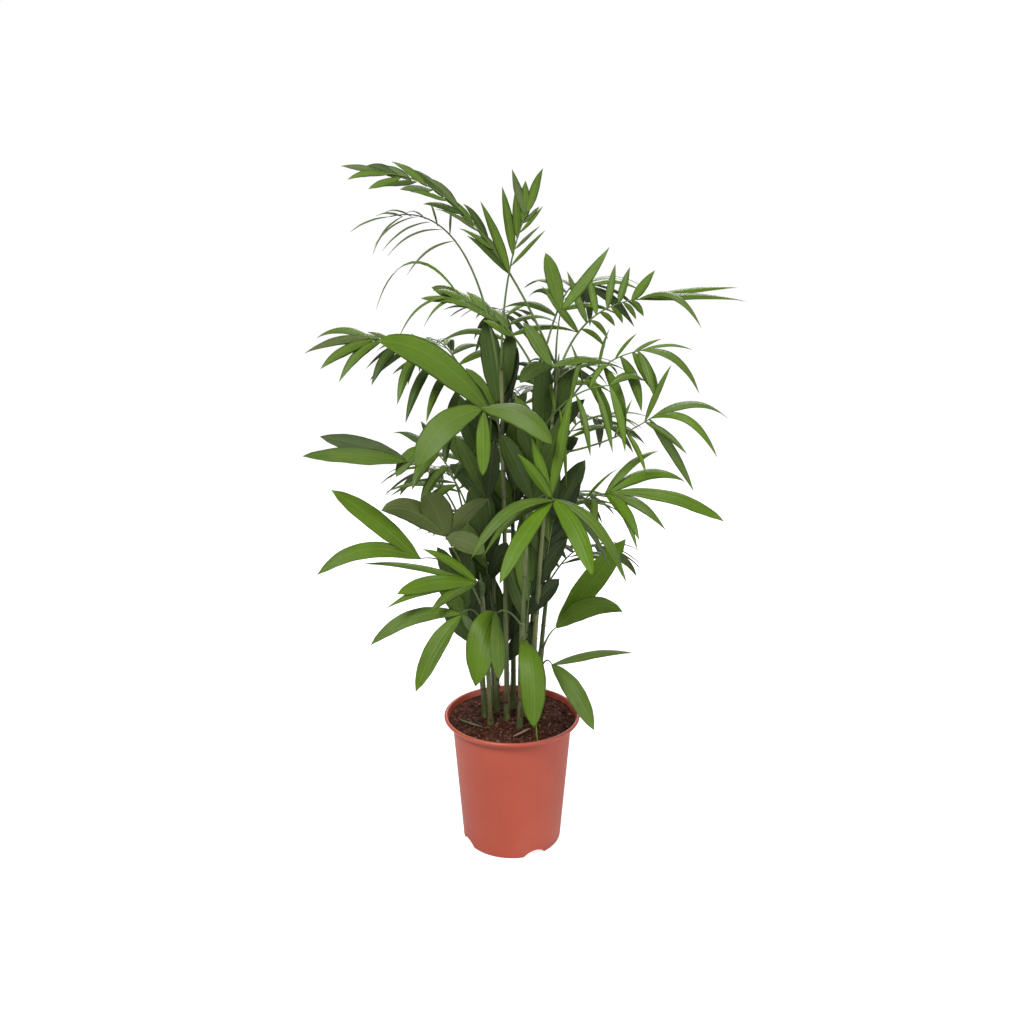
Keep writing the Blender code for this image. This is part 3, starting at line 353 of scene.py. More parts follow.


# The fronds that show from the front. Where their greens are deep or dark, these paint the shade on leaves
# that lie in shadow
FRONT_FRONDS = [
    Frond(
        "top_fork", "leaning", 0.92, (0.075, -0.06, 1.01), (0.085, -0.08, 1.055), "middle fresh",
        ((0.06, -0.07, 1.15), 0.027, 0.2),
        ((0.17, -0.08, 1.155), 0.022, 0.0),
        face=FRONT,
    ),
    Frond(
        "broad_left", "tall_left", 0.8, (-0.035, -0.04, 0.84), (-0.04, -0.07, 0.88), "fresh dark",
        ((-0.225, -0.15, 1.01), 0.058, 0.75, (0.2, -1, 1)),
        ((-0.12, -0.05, 0.945), 0.034, 0.4, (0, -1, 0.5)),
    ),
    Frond(
        "far_left", "left", 0.645, (-0.13, -0.06, 0.775), (-0.19, -0.08, 0.79), "middle deep",
        ((-0.365, -0.12, 0.805), 0.05, 0.3, (0, -0.6, 1)),
        ((-0.345, -0.05, 0.835), 0.034, 0.2, (0, -1, 0.5)),
    ),
    Frond(
        "middle_bow", "tall_middle", 0.81, (-0.03, -0.12, 0.905), (-0.05, -0.17, 0.895),
        "middle middle fresh",
        ((-0.16, -0.22, 0.805), 0.05, 1.8, (0, -1, 0.6)),
        ((0.07, -0.22, 0.845), 0.047, 1.4, (0, -0.8, 1)),
        ((-0.045, -0.195, 0.785), 0.026, 0.9, (0, -1, 0.2)),
    ),
    Frond(
        "low_left", "left", 0.51, (-0.11, -0.08, 0.62), (-0.165, -0.12, 0.62), "fresh",
        ((-0.31, -0.13, 0.755), 0.038, 0.2, (0, -1, 1)),
        ((-0.335, -0.18, 0.605), 0.034, 1.3, (0, -0.8, 1)),
    ),
    Frond(
        "pale_left", "front_left", 0.51, (-0.09, -0.08, 0.6), (-0.12, -0.11, 0.66), "olive",
        ((-0.225, -0.15, 0.71), 0.042, 1.0, (0, -1, 0.6)),
        ((-0.15, -0.14, 0.745), 0.056, 0.6, (0, -1, 0.3)),
        ((-0.05, -0.13, 0.63), 0.04, 0.8, (0, -1, 0.3)),
    ),
    Frond(
        "foot_left", "front_left", 0.46, (-0.065, -0.13, 0.545), (-0.09, -0.16, 0.53), "middle fresh deep",
        ((-0.245, -0.2, 0.485), 0.03, 1.3, (0, -1, 1)),
        ((-0.17, -0.22, 0.41), 0.034, 1.2, (0, -1, 0.3)),
        ((-0.06, -0.19, 0.485), 0.02, 0.8, (0, -1, 0.5)),
    ),
    Frond(
        "front_left", "front", 0.47, (-0.01, -0.09, 0.525), (-0.028, -0.13, 0.52), "fresh middle",
        ((-0.062, -0.22, 0.418), 0.054, 4.3, (0.1, -1, 0.5)),
        ((-0.022, -0.22, 0.43), 0.034, 4.0, (0.4, -1, 0.4)),
    ),
    Frond(
        "front_right", "front", 0.4, (0.016, -0.09, 0.48), (0.022, -0.12, 0.465), "fresh middle",
        ((0.046, -0.23, 0.345), 0.05, 4.6, (0.3, -1, 0.5)),
        ((0.026, -0.21, 0.352), 0.032, 4.6, (-0.4, -1, 0.3)),
        ((0.04, -0.24, 0.308), 0.006, 3.6, (0.2, -1, 0.5)),
    ),
    Frond(
        "foot_right", "right", 0.355, (0.066, -0.04, 0.405), (0.075, -0.09, 0.405), "middle",
        ((0.23, -0.08, 0.42), 0.024, 0.6, (0, -0.3, 1)),
        ((0.145, -0.18, 0.315), 0.036, 1.2, (0, -1, 0.6)),
    ),
    Frond(
        "low_right", "right", 0.4, (0.072, -0.01, 0.44), (0.085, -0.04, 0.46), "bright fresh",
        ((0.22, -0.02, 0.625), 0.05, 0.1, (0.3, -1, 0.2)),
        ((0.205, -0.09, 0.51), 0.04, 1.0, (0.2, -1, 0.6)),
    ),
    Frond(
        "dark_top", "tall_right", 0.92, (0.065, -0.03, 0.96), (0.07, -0.05, 0.955), "middle deep middle",
        ((0.17, -0.04, 0.96), 0.028, 0.8, (0, -0.6, 1)),
        ((0.015, -0.1, 0.93), 0.03, 1.2, (0, -1, 0.6)),
        ((0.02, -0.02, 1.03), 0.026, 0.3, (0, -1, 0.3)),
    ),
    Frond(
        "heart", "front", 0.62, (0.03, -0.02, 0.66), (0.04, -0.03, 0.705), "deep deep dark",
        ((-0.015, -0.04, 0.835), 0.042, 0.1, FRONT),
        ((0.09, -0.05, 0.87), 0.04, 0.0, FRONT),
        ((0.125, -0.02, 0.65), 0.034, 1.4, FRONT),
    ),
    Frond(
        "heart_left", "tall_left", 0.64, (-0.04, -0.03, 0.69), (-0.045, -0.05, 0.715), "dark deep olive",
        ((-0.03, -0.07, 0.825), 0.032, 0.1, FRONT),
        ((-0.1, -0.04, 0.83), 0.03, 0.2, FRONT),
        ((-0.125, -0.06, 0.64), 0.034, 1.2, FRONT),
    ),
    Frond(
        "hanging_left", "left", 0.61, (-0.1, -0.03, 0.78), (-0.155, -0.05, 0.81), "middle deep",
        pairs=4, bare=0.45, blade=0.105, width=0.022, face=(0, -0.7, 1), grow=(1, 0.9),
        left=(80, 40, 0, 1.8, 1, 1), right=(60, 30, 10, 0.8, 0.9, 0.8),
    ),
    Frond(
        "umbrella", "front", 0.69, (0.055, -0.14, 0.76), (0.07, -0.2, 0.745),
        "middle middle bright bright middle grey bright bright fresh",
        ((-0.065, -0.28, 0.665), 0.026, 2.0, (0, -0.6, 1)),
        ((-0.05, -0.22, 0.645), 0.022, 2.2, (0, -0.8, 1)),
        ((-0.02, -0.3, 0.63), 0.03, 1.0, (0, -1, 0.8)),
        ((0.135, -0.3, 0.645), 0.034, 1.0, (0, -1, 0.8)),
        ((0.19, -0.26, 0.62), 0.026, 2.4, (0, -0.6, 1)),
        ((0.175, -0.18, 0.61), 0.018, 2.0, (0, -0.8, 1)),
        ((0.01, -0.2, 0.825), 0.022, 0.2, (0, -1, 0.4)),
        ((0.03, -0.18, 0.85), 0.022, 0.2, (0.3, -1, 0.2)),
        ((0.1, -0.17, 0.925), 0.022, 0.0, (0.4, -1, 0.2)),
    ),
    Frond(
        "top_left", "leaning", 0.955, (-0.06, -0.02, 1.275), (-0.215, -0.04, 1.28), "grey middle deep",
        ((-0.29, -0.05, 1.29), 0.015, 0.4),
        ((-0.275, -0.07, 1.265), 0.014, 0.8),
        pairs=8, bare=0.3, blade=0.072, width=0.015, face=(0.2, -1, 0.7), grow=(1.25, 0.8),
        left=(10, 30, 20, 0.5, 1, 1), right=(8, 24, 14, 0.6, 1, 1),
    ),
    Frond(
        "top_middle", "tall_middle", 0.945, (-0.01, -0.02, 1.12), (0.025, -0.05, 1.215),
        "middle grey middle middle",
        ((0.055, -0.06, 1.285), 0.017, 0.5, FRONT),
        ((-0.002, -0.06, 1.285), 0.017, 0.1, FRONT),
        pairs=4, bare=0.56, blade=0.125, width=0.018, face=FRONT, grow=(1.1, 0.6),
        left=(28, 22, 5, 0.1, 1, 1), right=(44, 34, 30, 0.1, 0.75, 0.45),
    ),
    Frond(
        "upper_right", "leaning", 0.945, (0.125, 0.02, 1.06), (0.235, 0.03, 1.07), MIXED,
        ((0.43, 0.03, 1.065), 0.022, 0.35, (0, -0.8, 1)),
        ((0.42, 0.08, 1.095), 0.016, 0.2, (0, -1, 1)),
        ((0.335, -0.04, 1.02), 0.017, 2.2, (0, -0.8, 1)),
        pairs=6, bare=0.34, blade=0.085, width=0.015, face=(0, -1, 0.3), grow=(1.3, 0.8),
        left=(80, 44, 0, 0.1, 1, 1), right=(60, 40, -10, 1.6, 0.5, 0.7),
    ),
    Frond(
        "middle_right", "leaning", 0.84, (0.13, -0.05, 0.965), (0.225, -0.08, 0.985), MIXED,
        ((0.325, -0.12, 0.915), 0.019, 2.2, (0, -0.8, 1)),
        ((0.31, -0.1, 0.985), 0.007, 0.8, (0, -1, 1)),
        ((0.245, -0.12, 0.905), 0.018, 1.6, (0, -1, 0.4)),
        pairs=4, bare=0.4, blade=0.105, width=0.02, face=(0, -1, 0.4), grow=(1.1, 0.8),
        left=(46, 20, 10, 0.5, 0.7, 0.3), right=(95, 70, -10, 1.2, 1, 1),
    ),
    Frond(
        "lower_right", "leaning", 0.79, (0.17, -0.1, 0.82), (0.24, -0.13, 0.875), MIXED,
        ((0.365, -0.16, 0.875), 0.019, 1.3, (0, -0.8, 1)),
        ((0.335, -0.2, 0.815), 0.017, 2.4, (0, -0.8, 1)),
        ((0.315, -0.12, 0.74), 0.018, 0.8, (0, -1, 0.6)),
        pairs=2, bare=0.6, blade=0.11, width=0.01, face=(0, -1, 0.6), left=(60, 40, 5, 0.4, 1, 1),
        right=(70, 50, 0, 0.8, 1, 1),
    ),
    Frond(
        "inner_right", "tall_right", 0.8, (0.1, -0.05, 0.92), (0.17, -0.09, 0.925), MIXED,
        pairs=4, bare=0.35, blade=0.115, width=0.013, face=(0, -0.8, 0.8), grow=(1.1, 0.9),
        left=(70, 40, 20, 1.6, 0.8, 1), right=(95, 60, -10, 1.8, 1.1, 1),
    ),
    Frond(
        "wide_right", "right", 0.67, (0.125, -0.06, 0.715), (0.175, -0.09, 0.735), "fresh bright middle",
        ((0.365, -0.15, 0.69), 0.03, 0.9, (0, -0.6, 1)),
        ((0.315, -0.06, 0.745), 0.024, 1.2, (0, -1, 1)),
        ((0.265, -0.16, 0.68), 0.024, 1.2, (0, -0.8, 1)),
        ((0.215, -0.18, 0.65), 0.012, 1.6, (0, -1, 0.5)),
        pairs=2, bare=0.55, blade=0.13, width=0.018, face=(0, -0.7, 1), left=(70, 50, 5, 0.6, 1, 1),
        right=(60, 40, 0, 1.0, 1, 1),
    ),
    Frond(
        "upper_left", "tall_left", 0.86, (-0.115, -0.02, 0.985), (-0.25, -0.06, 1.005),
        "olive middle middle deep",
        ((-0.36, -0.09, 0.98), 0.024, 0.7, (0, -0.9, 1)),
        ((-0.35, -0.03, 1.0), 0.017, 1.1, (0, -0.9, 1)),
        ((-0.325, -0.12, 0.955), 0.024, 0.9, (0, -0.9, 1)),
        pairs=6, bare=0.26, blade=0.125, width=0.02, face=(0, -0.7, 1), grow=(1.1, 0.95),
        left=(85, 40, -5, 1.8, 1, 0.9), right=(50, 14, 10, 0.5, 0.5, 0.6),
    ),
    Frond(
        "crown_left", "tall_right", 0.945, (-0.01, 0.02, 1.045), (-0.095, 0.03, 1.07), MIXED,
        ((-0.16, 0.0, 1.02), 0.008, 2.2, (0, -1, 1)),
        ((-0.25, 0.0, 1.05), 0.006, 2.4, (0, -1, 1)),
        ((-0.21, -0.02, 1.0), 0.006, 2.2, (0, -1, 1)),
        ((-0.145, 0.03, 1.085), 0.016, 0.8, (0, -1, 1)),
        pairs=4, bare=0.34, blade=0.085, width=0.024, face=(0, -0.6, 1), left=(18, 12, 20, 0.6, 1, 1),
        right=(16, 12, 10, 0.6, 1, 1),
    ),
    Frond(
        "thin_left", "tall_middle", 0.93, (-0.065, 0.05, 1.25), (-0.22, 0.04, 1.215), "grey",
        ((-0.29, 0.02, 1.185), 0.0045, 0.8),
        pairs=5, bare=0.55, blade=0.13, width=0.0045, face=(0, -1, 1), grow=(1, 0.7),
        left=(70, 30, 10, 1.4, 1, 1), right=(50, 25, 0, 0.9, 0.6, 1),
    ),
    Frond(
        "narrow_left", "front_left", 0.53, (-0.045, -0.08, 0.57), (-0.065, -0.12, 0.575), "fresh middle",
        ((-0.2, -0.2, 0.585), 0.034, 0.5, (0, -0.8, 1)),
        ((-0.265, -0.15, 0.61), 0.014, 0.5, (0, -0.8, 1)),
        ((-0.215, -0.22, 0.56), 0.024, 0.7, (0, -0.8, 1)),
        ((-0.14, -0.2, 0.545), 0.022, 0.7, (0, -1, 0.6)),
        ((-0.16, -0.12, 0.64), 0.02, 0.5, (0, -1, 0.6)),
    ),
]


def reaching(height):
    return [cane for cane in CANES if SOIL_TOP + CANES[cane][2] > height + 0.01]


def rear_fronds():
    """Fronds that fan out behind, with more and narrower leaflets than their solids."""
    for k in range(REAR_FRONDS):
        share = k / (REAR_FRONDS - 1)
        height = 0.46 + 0.45 * share
        swing = (38 + 8 * share) * (2 * (k * GOLDEN % 1) - 1)
        turn = math.radians(90 + swing)
        out = Vector((math.cos(turn), math.sin(turn), 0))
        cane = max(reaching(height), key=lambda name: cane_point(name, height).dot(out))
        axis = cane_point(cane, height)
        reach = 0.24 - 0.02 * share
        rise = 0.08 + 0.10 * share
        bend = axis + out * reach * 0.5 + UP * (rise + 0.05)
        tip = axis + out * reach + UP * rise
        yield Frond(
            f"rear_{k + 1:02d}", cane, height, bend, tip, REAR_MIX,
            pairs=7, bare=0.36, blade=0.158, width=0.017, grow=(0.95, 0.95), left=(62, 20, 12, 1.1, 1, 1),
        )


def core_fronds():
    """Short fronds with broad leaflets that stand up among the canes, by turns behind and in front."""
    for k in range(CORE_FRONDS):
        share = k / (CORE_FRONDS - 1)
        height = 0.31 + 0.45 * share
        side = CORE_SPREAD * (2 * ((k * GOLDEN + 0.5) % 1) - 1) - 0.008
        out = Vector((side, -0.04 if k % 2 else 0.04, 0)).normalized()
        cane = min(reaching(height), key=lambda name: abs(cane_point(name, height).x - side))
        axis = cane_point(cane, height)
        bend = axis + out * 0.022 + UP * 0.06
        tip = axis + out * 0.032 + UP * 0.12
        yield Frond(
            f"core_{k + 1}", cane, height, bend, tip, CORE_MIX,
            pairs=3, bare=0.40, blade=0.145, width=0.034, left=(30, 10, 10, 0.3, 1, 1),
            face=Vector((0, -1, 0.2)) + out * 0.4,
        )


# Keeping the ribs clear of each other and of the canes
def nearest(first, second):
    return min((a - b).length for a in first for b in second)


def clear_ribs(fronds):
    """Swings the bend of a rib sideways, or shifts its foot, by as little as lets it pass the rest."""
    placed = []
    lines = {
        cane: [cane_point(cane, SOIL_TOP + CANES[cane][2] * k / 80) for k in range(81)] for cane in CANES
    }
    swings = (0, 1, -1, 2, -2, 3, -3, 4, -4)
    tries = [(shift, swing) for shift in (0, FOOT_SHIFT, -FOOT_SHIFT) for swing in swings]
    for frond in fronds:
        middle = frond.bend.copy()
        height = frond.height
        sideways = (frond.tip - frond.foot).cross(UP).normalized()
        others = [line for cane, line in lines.items() if cane != frond.cane]
        best = None
        for shift, swing in tries:
            frond.bend = middle + sideways * swing * BEND_SWING
            frond.height = height + shift
            frond.foot = frond.seat()
            path = [frond.point(k / 50) for k in range(51)]
            room = min(nearest(path, line) - CANE_RADIUS for line in others)
            room = min([room] + [nearest(path, line) - RIB_RADIUS for line in placed])
            if best is None or room > best[0] + BETTER_BY:
                best = (room, frond.bend.copy(), frond.height, path)
            if room > ENOUGH_ROOM:
                break
        frond.bend = best[1]
        frond.height = best[2]
        frond.foot = frond.seat()
        placed.append(best[3])


# Shader helpers
def feed(tree, node, inputs):
    """Links each named input to an output, or sets it to a plain value."""
    for entry, value in inputs.items():
        if isinstance(value, bpy.types.NodeSocket):
            tree.links.new(value, node.inputs[entry])
        else:
            node.inputs[entry].default_value = value


def add_node(tree, kind, inputs, **settings):
    node = tree.nodes.new("ShaderNode" + kind)
    for name, value in settings.items():
        setattr(node, name, value)
    feed(tree, node, inputs)
    return node


def calc(tree, operation, *values):
    return add_node(tree, "Math", dict(enumerate(values)), operation=operation).outputs[0]


def map_range(tree, value, old, new):
    """A value carried over from one range to another."""
    inputs = {"Value": value, "From Min": old[0], "From Max": old[1], "To Min": new[0], "To Max": new[1]}
    return add_node(tree, "MapRange", inputs).outputs[0]


def add_noise(tree, place, scale, detail, roughness):
    inputs = {"Vector": place, "Scale": scale, "Detail": detail, "Roughness": roughness}
    return add_node(tree, "TexNoise", inputs).outputs["Fac"]


def mixed(tree, share, first, second):
    inputs = {"Factor": share, "A": first, "B": second}
    return add_node(tree, "Mix", inputs, data_type="RGBA").outputs["Result"]


def ramp(tree, value, stops):
    node = add_node(tree, "ValToRGB", {"Fac": value})
    band = node.color_ramp
    while len(band.elements) < len(stops):
        band.elements.new(0.5)
    for element, (place, colour) in zip(band.elements, stops):
        element.position = place
        element.color = (*colour, 1)
    return node.outputs["Color"]


def scaled(colour, factor):
    return tuple(part * factor for part in colour)


def start_material(name, roughness, gloss=0.5):
    material = bpy.data.materials.new(name)
    material.use_nodes = True
    tree = material.node_tree
    shader = tree.nodes["Principled BSDF"]
    feed(tree, shader, {"Roughness": roughness, "Specular IOR Level": gloss})
    return material, tree, shader


def finish_surface(tree, shader, colour, height, strength, distance):
    """Gives the shader its colour and its fine relief."""
    bump = add_node(tree, "Bump", {"Height": height, "Strength": strength, "Distance": distance})
    feed(tree, shader, {"Base Color": colour, "Normal": bump.outputs["Normal"]})


def leaf_material(name, colour, roughness, vein_light, gloss):
    """Fine lengthwise veins, a paler midrib and a slow change of green, over a satin skin."""
    material, tree, shader = start_material(name, roughness, gloss)
    place = add_node(tree, "TexCoord", {}).outputs
    split = add_node(tree, "SeparateXYZ", {"Vector": place["UV"]})
    across = calc(tree, "SUBTRACT", split.outputs["Y"], 0.5)
    veins = calc(tree, "ADD", *(calc(tree, "SINE", calc(tree, "MULTIPLY", across, n)) for n in VEIN_WAVES))
    vein_share = map_range(tree, veins, (-0.5, 2.0), (0.0, 0.45))
    rib = map_range(tree, calc(tree, "ABSOLUTE", across), (0.002, 0.010), (1.0, 0.0))
    cloud = add_noise(tree, place["Object"], 14.0, 3.0, 0.55)
    greens = ramp(tree, cloud, [(0.30, scaled(colour, 0.78)), (0.50, colour), (0.72, scaled(colour, 1.22))])
    veined = mixed(tree, vein_share, greens, (*scaled(colour, vein_light), 1))
    pale = (colour[0] * 1.5 + 0.02, colour[1] * 1.35 + 0.03, colour[2] * 1.5 + 0.01, 1)
    ribbed = mixed(tree, calc(tree, "MULTIPLY", rib, 0.55), veined, pale)
    rough = map_range(tree, cloud, (0.0, 1.0), (roughness - 0.06, roughness + 0.10))
    feed(tree, shader, {"Roughness": rough})
    finish_surface(tree, shader, ribbed, veins, 0.35, 0.0004)
    return material


def stem_material(name, low, high, scale):
    """Streaks along a stem, with small darker flecks."""
    material, tree, shader = start_material(name, 0.45)
    place = add_node(tree, "TexCoord", {}).outputs["Object"]
    stretch = add_node(tree, "Mapping", {"Vector": place, "Scale": (scale, scale, scale * 0.12)})
    streak = add_noise(tree, stretch.outputs["Vector"], 1.0, 6.0, 0.6)
    colours = ramp(tree, streak, [(0.28, scaled(low, 0.6)), (0.48, low), (0.68, high)])
    finish_surface(tree, shader, colours, streak, 0.5, 0.0006)
    return material


def pot_material(name):
    """Moulded terracotta-coloured plastic: faint flow marks, small scuffs and dust."""
    material, tree, shader = start_material(name, 0.40)
    place = add_node(tree, "TexCoord", {}).outputs["Object"]
    flow = add_noise(tree, place, 7.0, 4.0, 0.5)
    grit = add_noise(tree, place, 420.0, 3.0, 0.6)
    scuff = add_noise(tree, place, 38.0, 8.0, 0.75)
    marks = ramp(tree, scuff, [(0.60, (0, 0, 0)), (0.74, (1, 1, 1))])
    colours = mixed(tree, calc(tree, "MULTIPLY", marks, 0.22), ramp(tree, flow, PLASTIC), SCUFFED)
    feed(tree, shader, {"Roughness": map_range(tree, scuff, (0.0, 1.0), (0.32, 0.50))})
    finish_surface(tree, shader, colours, grit, 0.12, 0.0003)
    return material


def soil_material(name, scale, *colours):
    """Crumbly bark and coir: patches of dark and red brown, with a rough grain."""
    material, tree, shader = start_material(name, 0.9, 0.15)
    place = add_node(tree, "TexCoord", {}).outputs["Object"]
    patches = ramp(tree, add_noise(tree, place, scale, 8.0, 0.7), list(zip((0.30, 0.52, 0.75), colours)))
    finish_surface(tree, shader, patches, add_noise(tree, place, scale * 5, 6.0, 0.7), 0.8, 0.0015)
    return material


# Mesh helpers
def placed_object(name, data):
    obj = bpy.data.objects.new(name, data)
    bpy.context.scene.collection.objects.link(obj)
    return obj


def dressed(obj, nodes=()):
    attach(obj, "root")
    if nodes:
        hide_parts(*nodes)


class Heap:
    """Points, faces, their material numbers and their UV places, gathered for one piece."""

    def __init__(self):
        self.points, self.faces, self.kinds, self.places = [], [], [], []

    def add_point(self, point, place=(0.0, 0.5)):
        self.points.append(tuple(point))
        self.places.append(place)
        return len(self.points) - 1

    def add_face(self, corners, kind=0):
        self.faces.append(tuple(corners))
        self.kinds.append(kind)

    def add_band(self, low, high, kind):
        """Faces between two rings of points."""
        for j in range(len(low)):
            n = (j + 1) % len(low)
            self.add_face((low[j], low[n], high[n], high[j]), kind)

    def piece(self, name, materials, slot, nodes=()):
        mesh = bpy.data.meshes.new(name)
        mesh.from_pydata(self.points, [], self.faces)
        for material in materials:
            mesh.materials.append(material)
        mesh.polygons.foreach_set("material_index", self.kinds)
        mesh.polygons.foreach_set("use_smooth", [True] * len(self.faces))
        flat = [part for loop in mesh.loops for part in self.places[loop.vertex_index]]
        mesh.uv_layers.new(name="UVMap").data.foreach_set("uv", flat)
        mesh.update()
        dressed(placed_object(name, mesh), nodes)


def side_vectors(along, hint):
    side = (hint - along * hint.dot(along)).normalized()
    return side, along.cross(side)


def add_tube(heap, path, radii, sides, kind=0):
    """A round closed tube along a path, with one radius for each of its points."""
    hint = Vector((1, 0, 0)) if abs((path[-1] - path[0]).normalized().x) < 0.9 else Vector((0, 1, 0))
    rings = []
    run = 0.0
    for k, point in enumerate(path):
        along = (path[min(k + 1, len(path) - 1)] - path[max(k - 1, 0)]).normalized()
        side, up = side_vectors(along, hint)
        hint = side
        if k:
            run += (point - path[k - 1]).length
        ring = []
        for j in range(sides):
            turn = 2 * math.pi * j / sides
            offset = side * math.cos(turn) + up * math.sin(turn)
            ring.append(heap.add_point(point + offset * radii[k], (run * UV_SCALE, 0.5 + j / sides * 0.1)))
        rings.append(ring)
    for low, high in zip(rings, rings[1:]):
        heap.add_band(low, high, kind)
    heap.add_face(reversed(rings[0]), kind)
    heap.add_face(rings[-1], kind)


# Leaflets
def add_leaf(heap, leaf, kinds, chance):
    """A closed blade, ridged along its middle, with soft pleats, a little twist and a curved tip."""
    root, heading, flat, length, width, droop = leaf
    broad = width >= BROAD_WIDTH
    rows, columns, folds, ripples = BROAD_MESH if broad else NARROW_MESH
    path = swept(root, heading, length, droop, rows)
    twist = math.radians(chance.uniform(-MOST_TWIST, MOST_TWIST))
    fold = chance.uniform(*folds)
    sickle = chance.uniform(-MOST_SICKLE, MOST_SICKLE) * length
    ripple = chance.uniform(0.4, 1.0) * ripples
    phase = chance.uniform(0, 6.28)
    pleats = max(2, round(width / PLEAT_WIDTH))
    top_rows, low_rows = [], []
    for i in range(rows):
        share = i / rows
        along = (path[i + 1] - path[max(i - 1, 0)]).normalized()
        side, up = side_vectors(along, flat)
        turn = Matrix.Rotation(twist * share * share, 3, along)
        side, up = turn @ side, turn @ up
        half = width * outline_width(share, broad) / 2
        middle = path[i] + side * sickle * share * share
        tops, lows = [], []
        for j in range(columns):
            v = 2 * j / (columns - 1) - 1
            wave = ripple * math.cos(v * pleats * math.pi) * min(1.0, half * 80)
            edge = ripple * 0.8 * math.sin(phase + share * 17) * v * v
            height = wave + edge - fold * abs(v) ** 1.3 * half
            spot = middle + side * v * half + up * height
            place = (share * length * UV_SCALE, 0.5 + v * half * UV_SCALE)
            tops.append(heap.add_point(spot, place))
            if 0 < j < columns - 1:
                sunk = LEAF_THICKNESS * (1.0 + 0.8 * max(0.0, 1 - abs(v) * 5))
                lows.append(heap.add_point(spot - up * sunk, place))
        top_rows.append(tops)
        low_rows.append([tops[0]] + lows + [tops[-1]])
    end = heap.add_point(path[-1] + side * sickle, (length * UV_SCALE, 0.5))
    for skin, kind, order in zip((top_rows, low_rows), kinds, (reversed, tuple)):
        for low, high in zip(skin, skin[1:]):
            for j in range(columns - 1):
                heap.add_face(order((low[j], low[j + 1], high[j + 1], high[j])), kind)
        for first, second in zip(skin[-1], skin[-1][1:]):
            heap.add_face(order((first, second, end)), kind)
    heap.add_face(top_rows[0] + list(reversed(low_rows[0][1:-1])), kinds[0])


def make_leaves(fronds, materials):
    """All leaflets in three pieces. Each green has an upper side and an underside among the materials."""
    names = list(TONES)
    groups = {"broad_leaves": Heap(), "front_leaflets": Heap(), "rear_leaflets": Heap()}
    owners = {name: [] for name in groups}
    for frond in fronds:
        group = "front_leaflets" if frond.pairs else "broad_leaves"
        if frond.name.startswith(("frond_rear", "frond_core")):
            group = "rear_leaflets"
        owners[group].append(frond.name)
        chance = random.Random(frond.name + " look")
        for k, leaf in enumerate(leaflets_of(frond)):
            tone = names.index(frond.tones[k % len(frond.tones)])
            add_leaf(groups[group], leaf, (2 * tone, 2 * tone + 1), chance)
    for name, heap in groups.items():
        heap.piece(name, materials, "frond", owners[name])


# Ribs, with the sheath that clasps the cane under each
def make_ribs(fronds, materials):
    heap = Heap()
    for frond in fronds:
        path = [frond.point(k / RIB_ROWS) for k in range(RIB_ROWS + 1)]
        radii = [RIB_RADIUS * (1.05 - 0.62 * k / RIB_ROWS) for k in range(RIB_ROWS + 1)]
        add_tube(heap, path, radii, RIB_SIDES)
        add_sheath(heap, frond)
    heap.piece("ribs", materials, "frond")


def add_sheath(heap, frond):
    """A thin sleeve on the cane, which opens at its top into the frond's stem."""
    low = max(frond.height - SHEATH_LENGTH, SOIL_TOP + 0.01)
    out = (frond.foot - cane_point(frond.cane, frond.height)).normalized()
    path, radii = [], []
    for k in range(SHEATH_ROWS + 1):
        height = low + (frond.height + 0.004 - low) * k / SHEATH_ROWS
        share = k / SHEATH_ROWS
        path.append(cane_point(frond.cane, height) + out * 0.0016 * share**3)
        radii.append(cane_radius(frond.cane, height) + 0.0005 + 0.0011 * math.sin(math.pi * share) * share)
    add_tube(heap, path, radii, SHEATH_SIDES, 1)


# Canes
def hump(distance, width):
    return math.exp(-((distance / width) ** 2))


def make_canes(materials):
    """Canes with raised leaf scars, a thicker foot and a tapered tip."""
    heap = Heap()
    for cane, (_, _, length) in CANES.items():
        chance = random.Random("cane_" + cane)
        spacing = RING_SPACING * chance.uniform(0.85, 1.2)
        start = chance.uniform(0.2, 0.8) * spacing
        rows = round(length / CANE_ROW)
        path, radii = [], []
        for k in range(rows + 1):
            height = SOIL_TOP - CANE_BURIED + (length + CANE_BURIED) * k / rows
            base = max(height, SOIL_TOP)
            past_ring = abs((height - SOIL_TOP - start) % spacing)
            off = min(past_ring, spacing - past_ring)
            ring = 0.00085 * hump(off, 0.0022) - 0.0003 * hump(off, 0.006)
            point = cane_point(cane, base)
            point.z = height
            path.append(point)
            swell = 1 + 0.25 * math.exp(-((height - SOIL_TOP) / 0.012))
            radii.append(cane_radius(cane, base) * swell + ring)
        for k in range(TAPER_ROWS):
            radii[k - TAPER_ROWS] *= 1 - 0.85 * (k / TAPER_ROWS) ** 1.5
        add_tube(heap, path, radii, CANE_SIDES)
        for _ in range(HUSKS):
            add_husk(heap, cane, chance)
    heap.piece("canes", materials, "cane", ["cane_" + cane for cane in CANES])


def add_husk(heap, cane, chance):
    """What is left of a dry sleeve near the soil, torn to a point."""
    height = SOIL_TOP + chance.uniform(0.004, 0.07)
    axis = cane_point(cane, height)
    turn = chance.uniform(0, 6.28)
    out = Vector((math.cos(turn), math.sin(turn), 0))
    tall = chance.uniform(0.02, 0.05)
    wide = chance.uniform(0.004, 0.008)
    side = out.cross(UP)
    skin = out * 0.0004
    rings = []
    for k in range(HUSK_ROWS + 1):
        share = k / HUSK_ROWS
        middle = axis + out * (CANE_RADIUS * 1.1 + 0.006 * share**2) + UP * tall * share
        edge = side * (wide * (1 - share) ** 0.7 / 2)
        ring = (middle - edge, middle + edge, middle + edge * 0.9 + skin, middle - edge * 0.9 + skin)
        rings.append([heap.add_point(point) for point in ring])
    heap.add_face(reversed(rings[0]), 1)
    for low, high in zip(rings, rings[1:]):
        heap.add_band(low, high, 1)
    heap.add_face(rings[-1], 1)


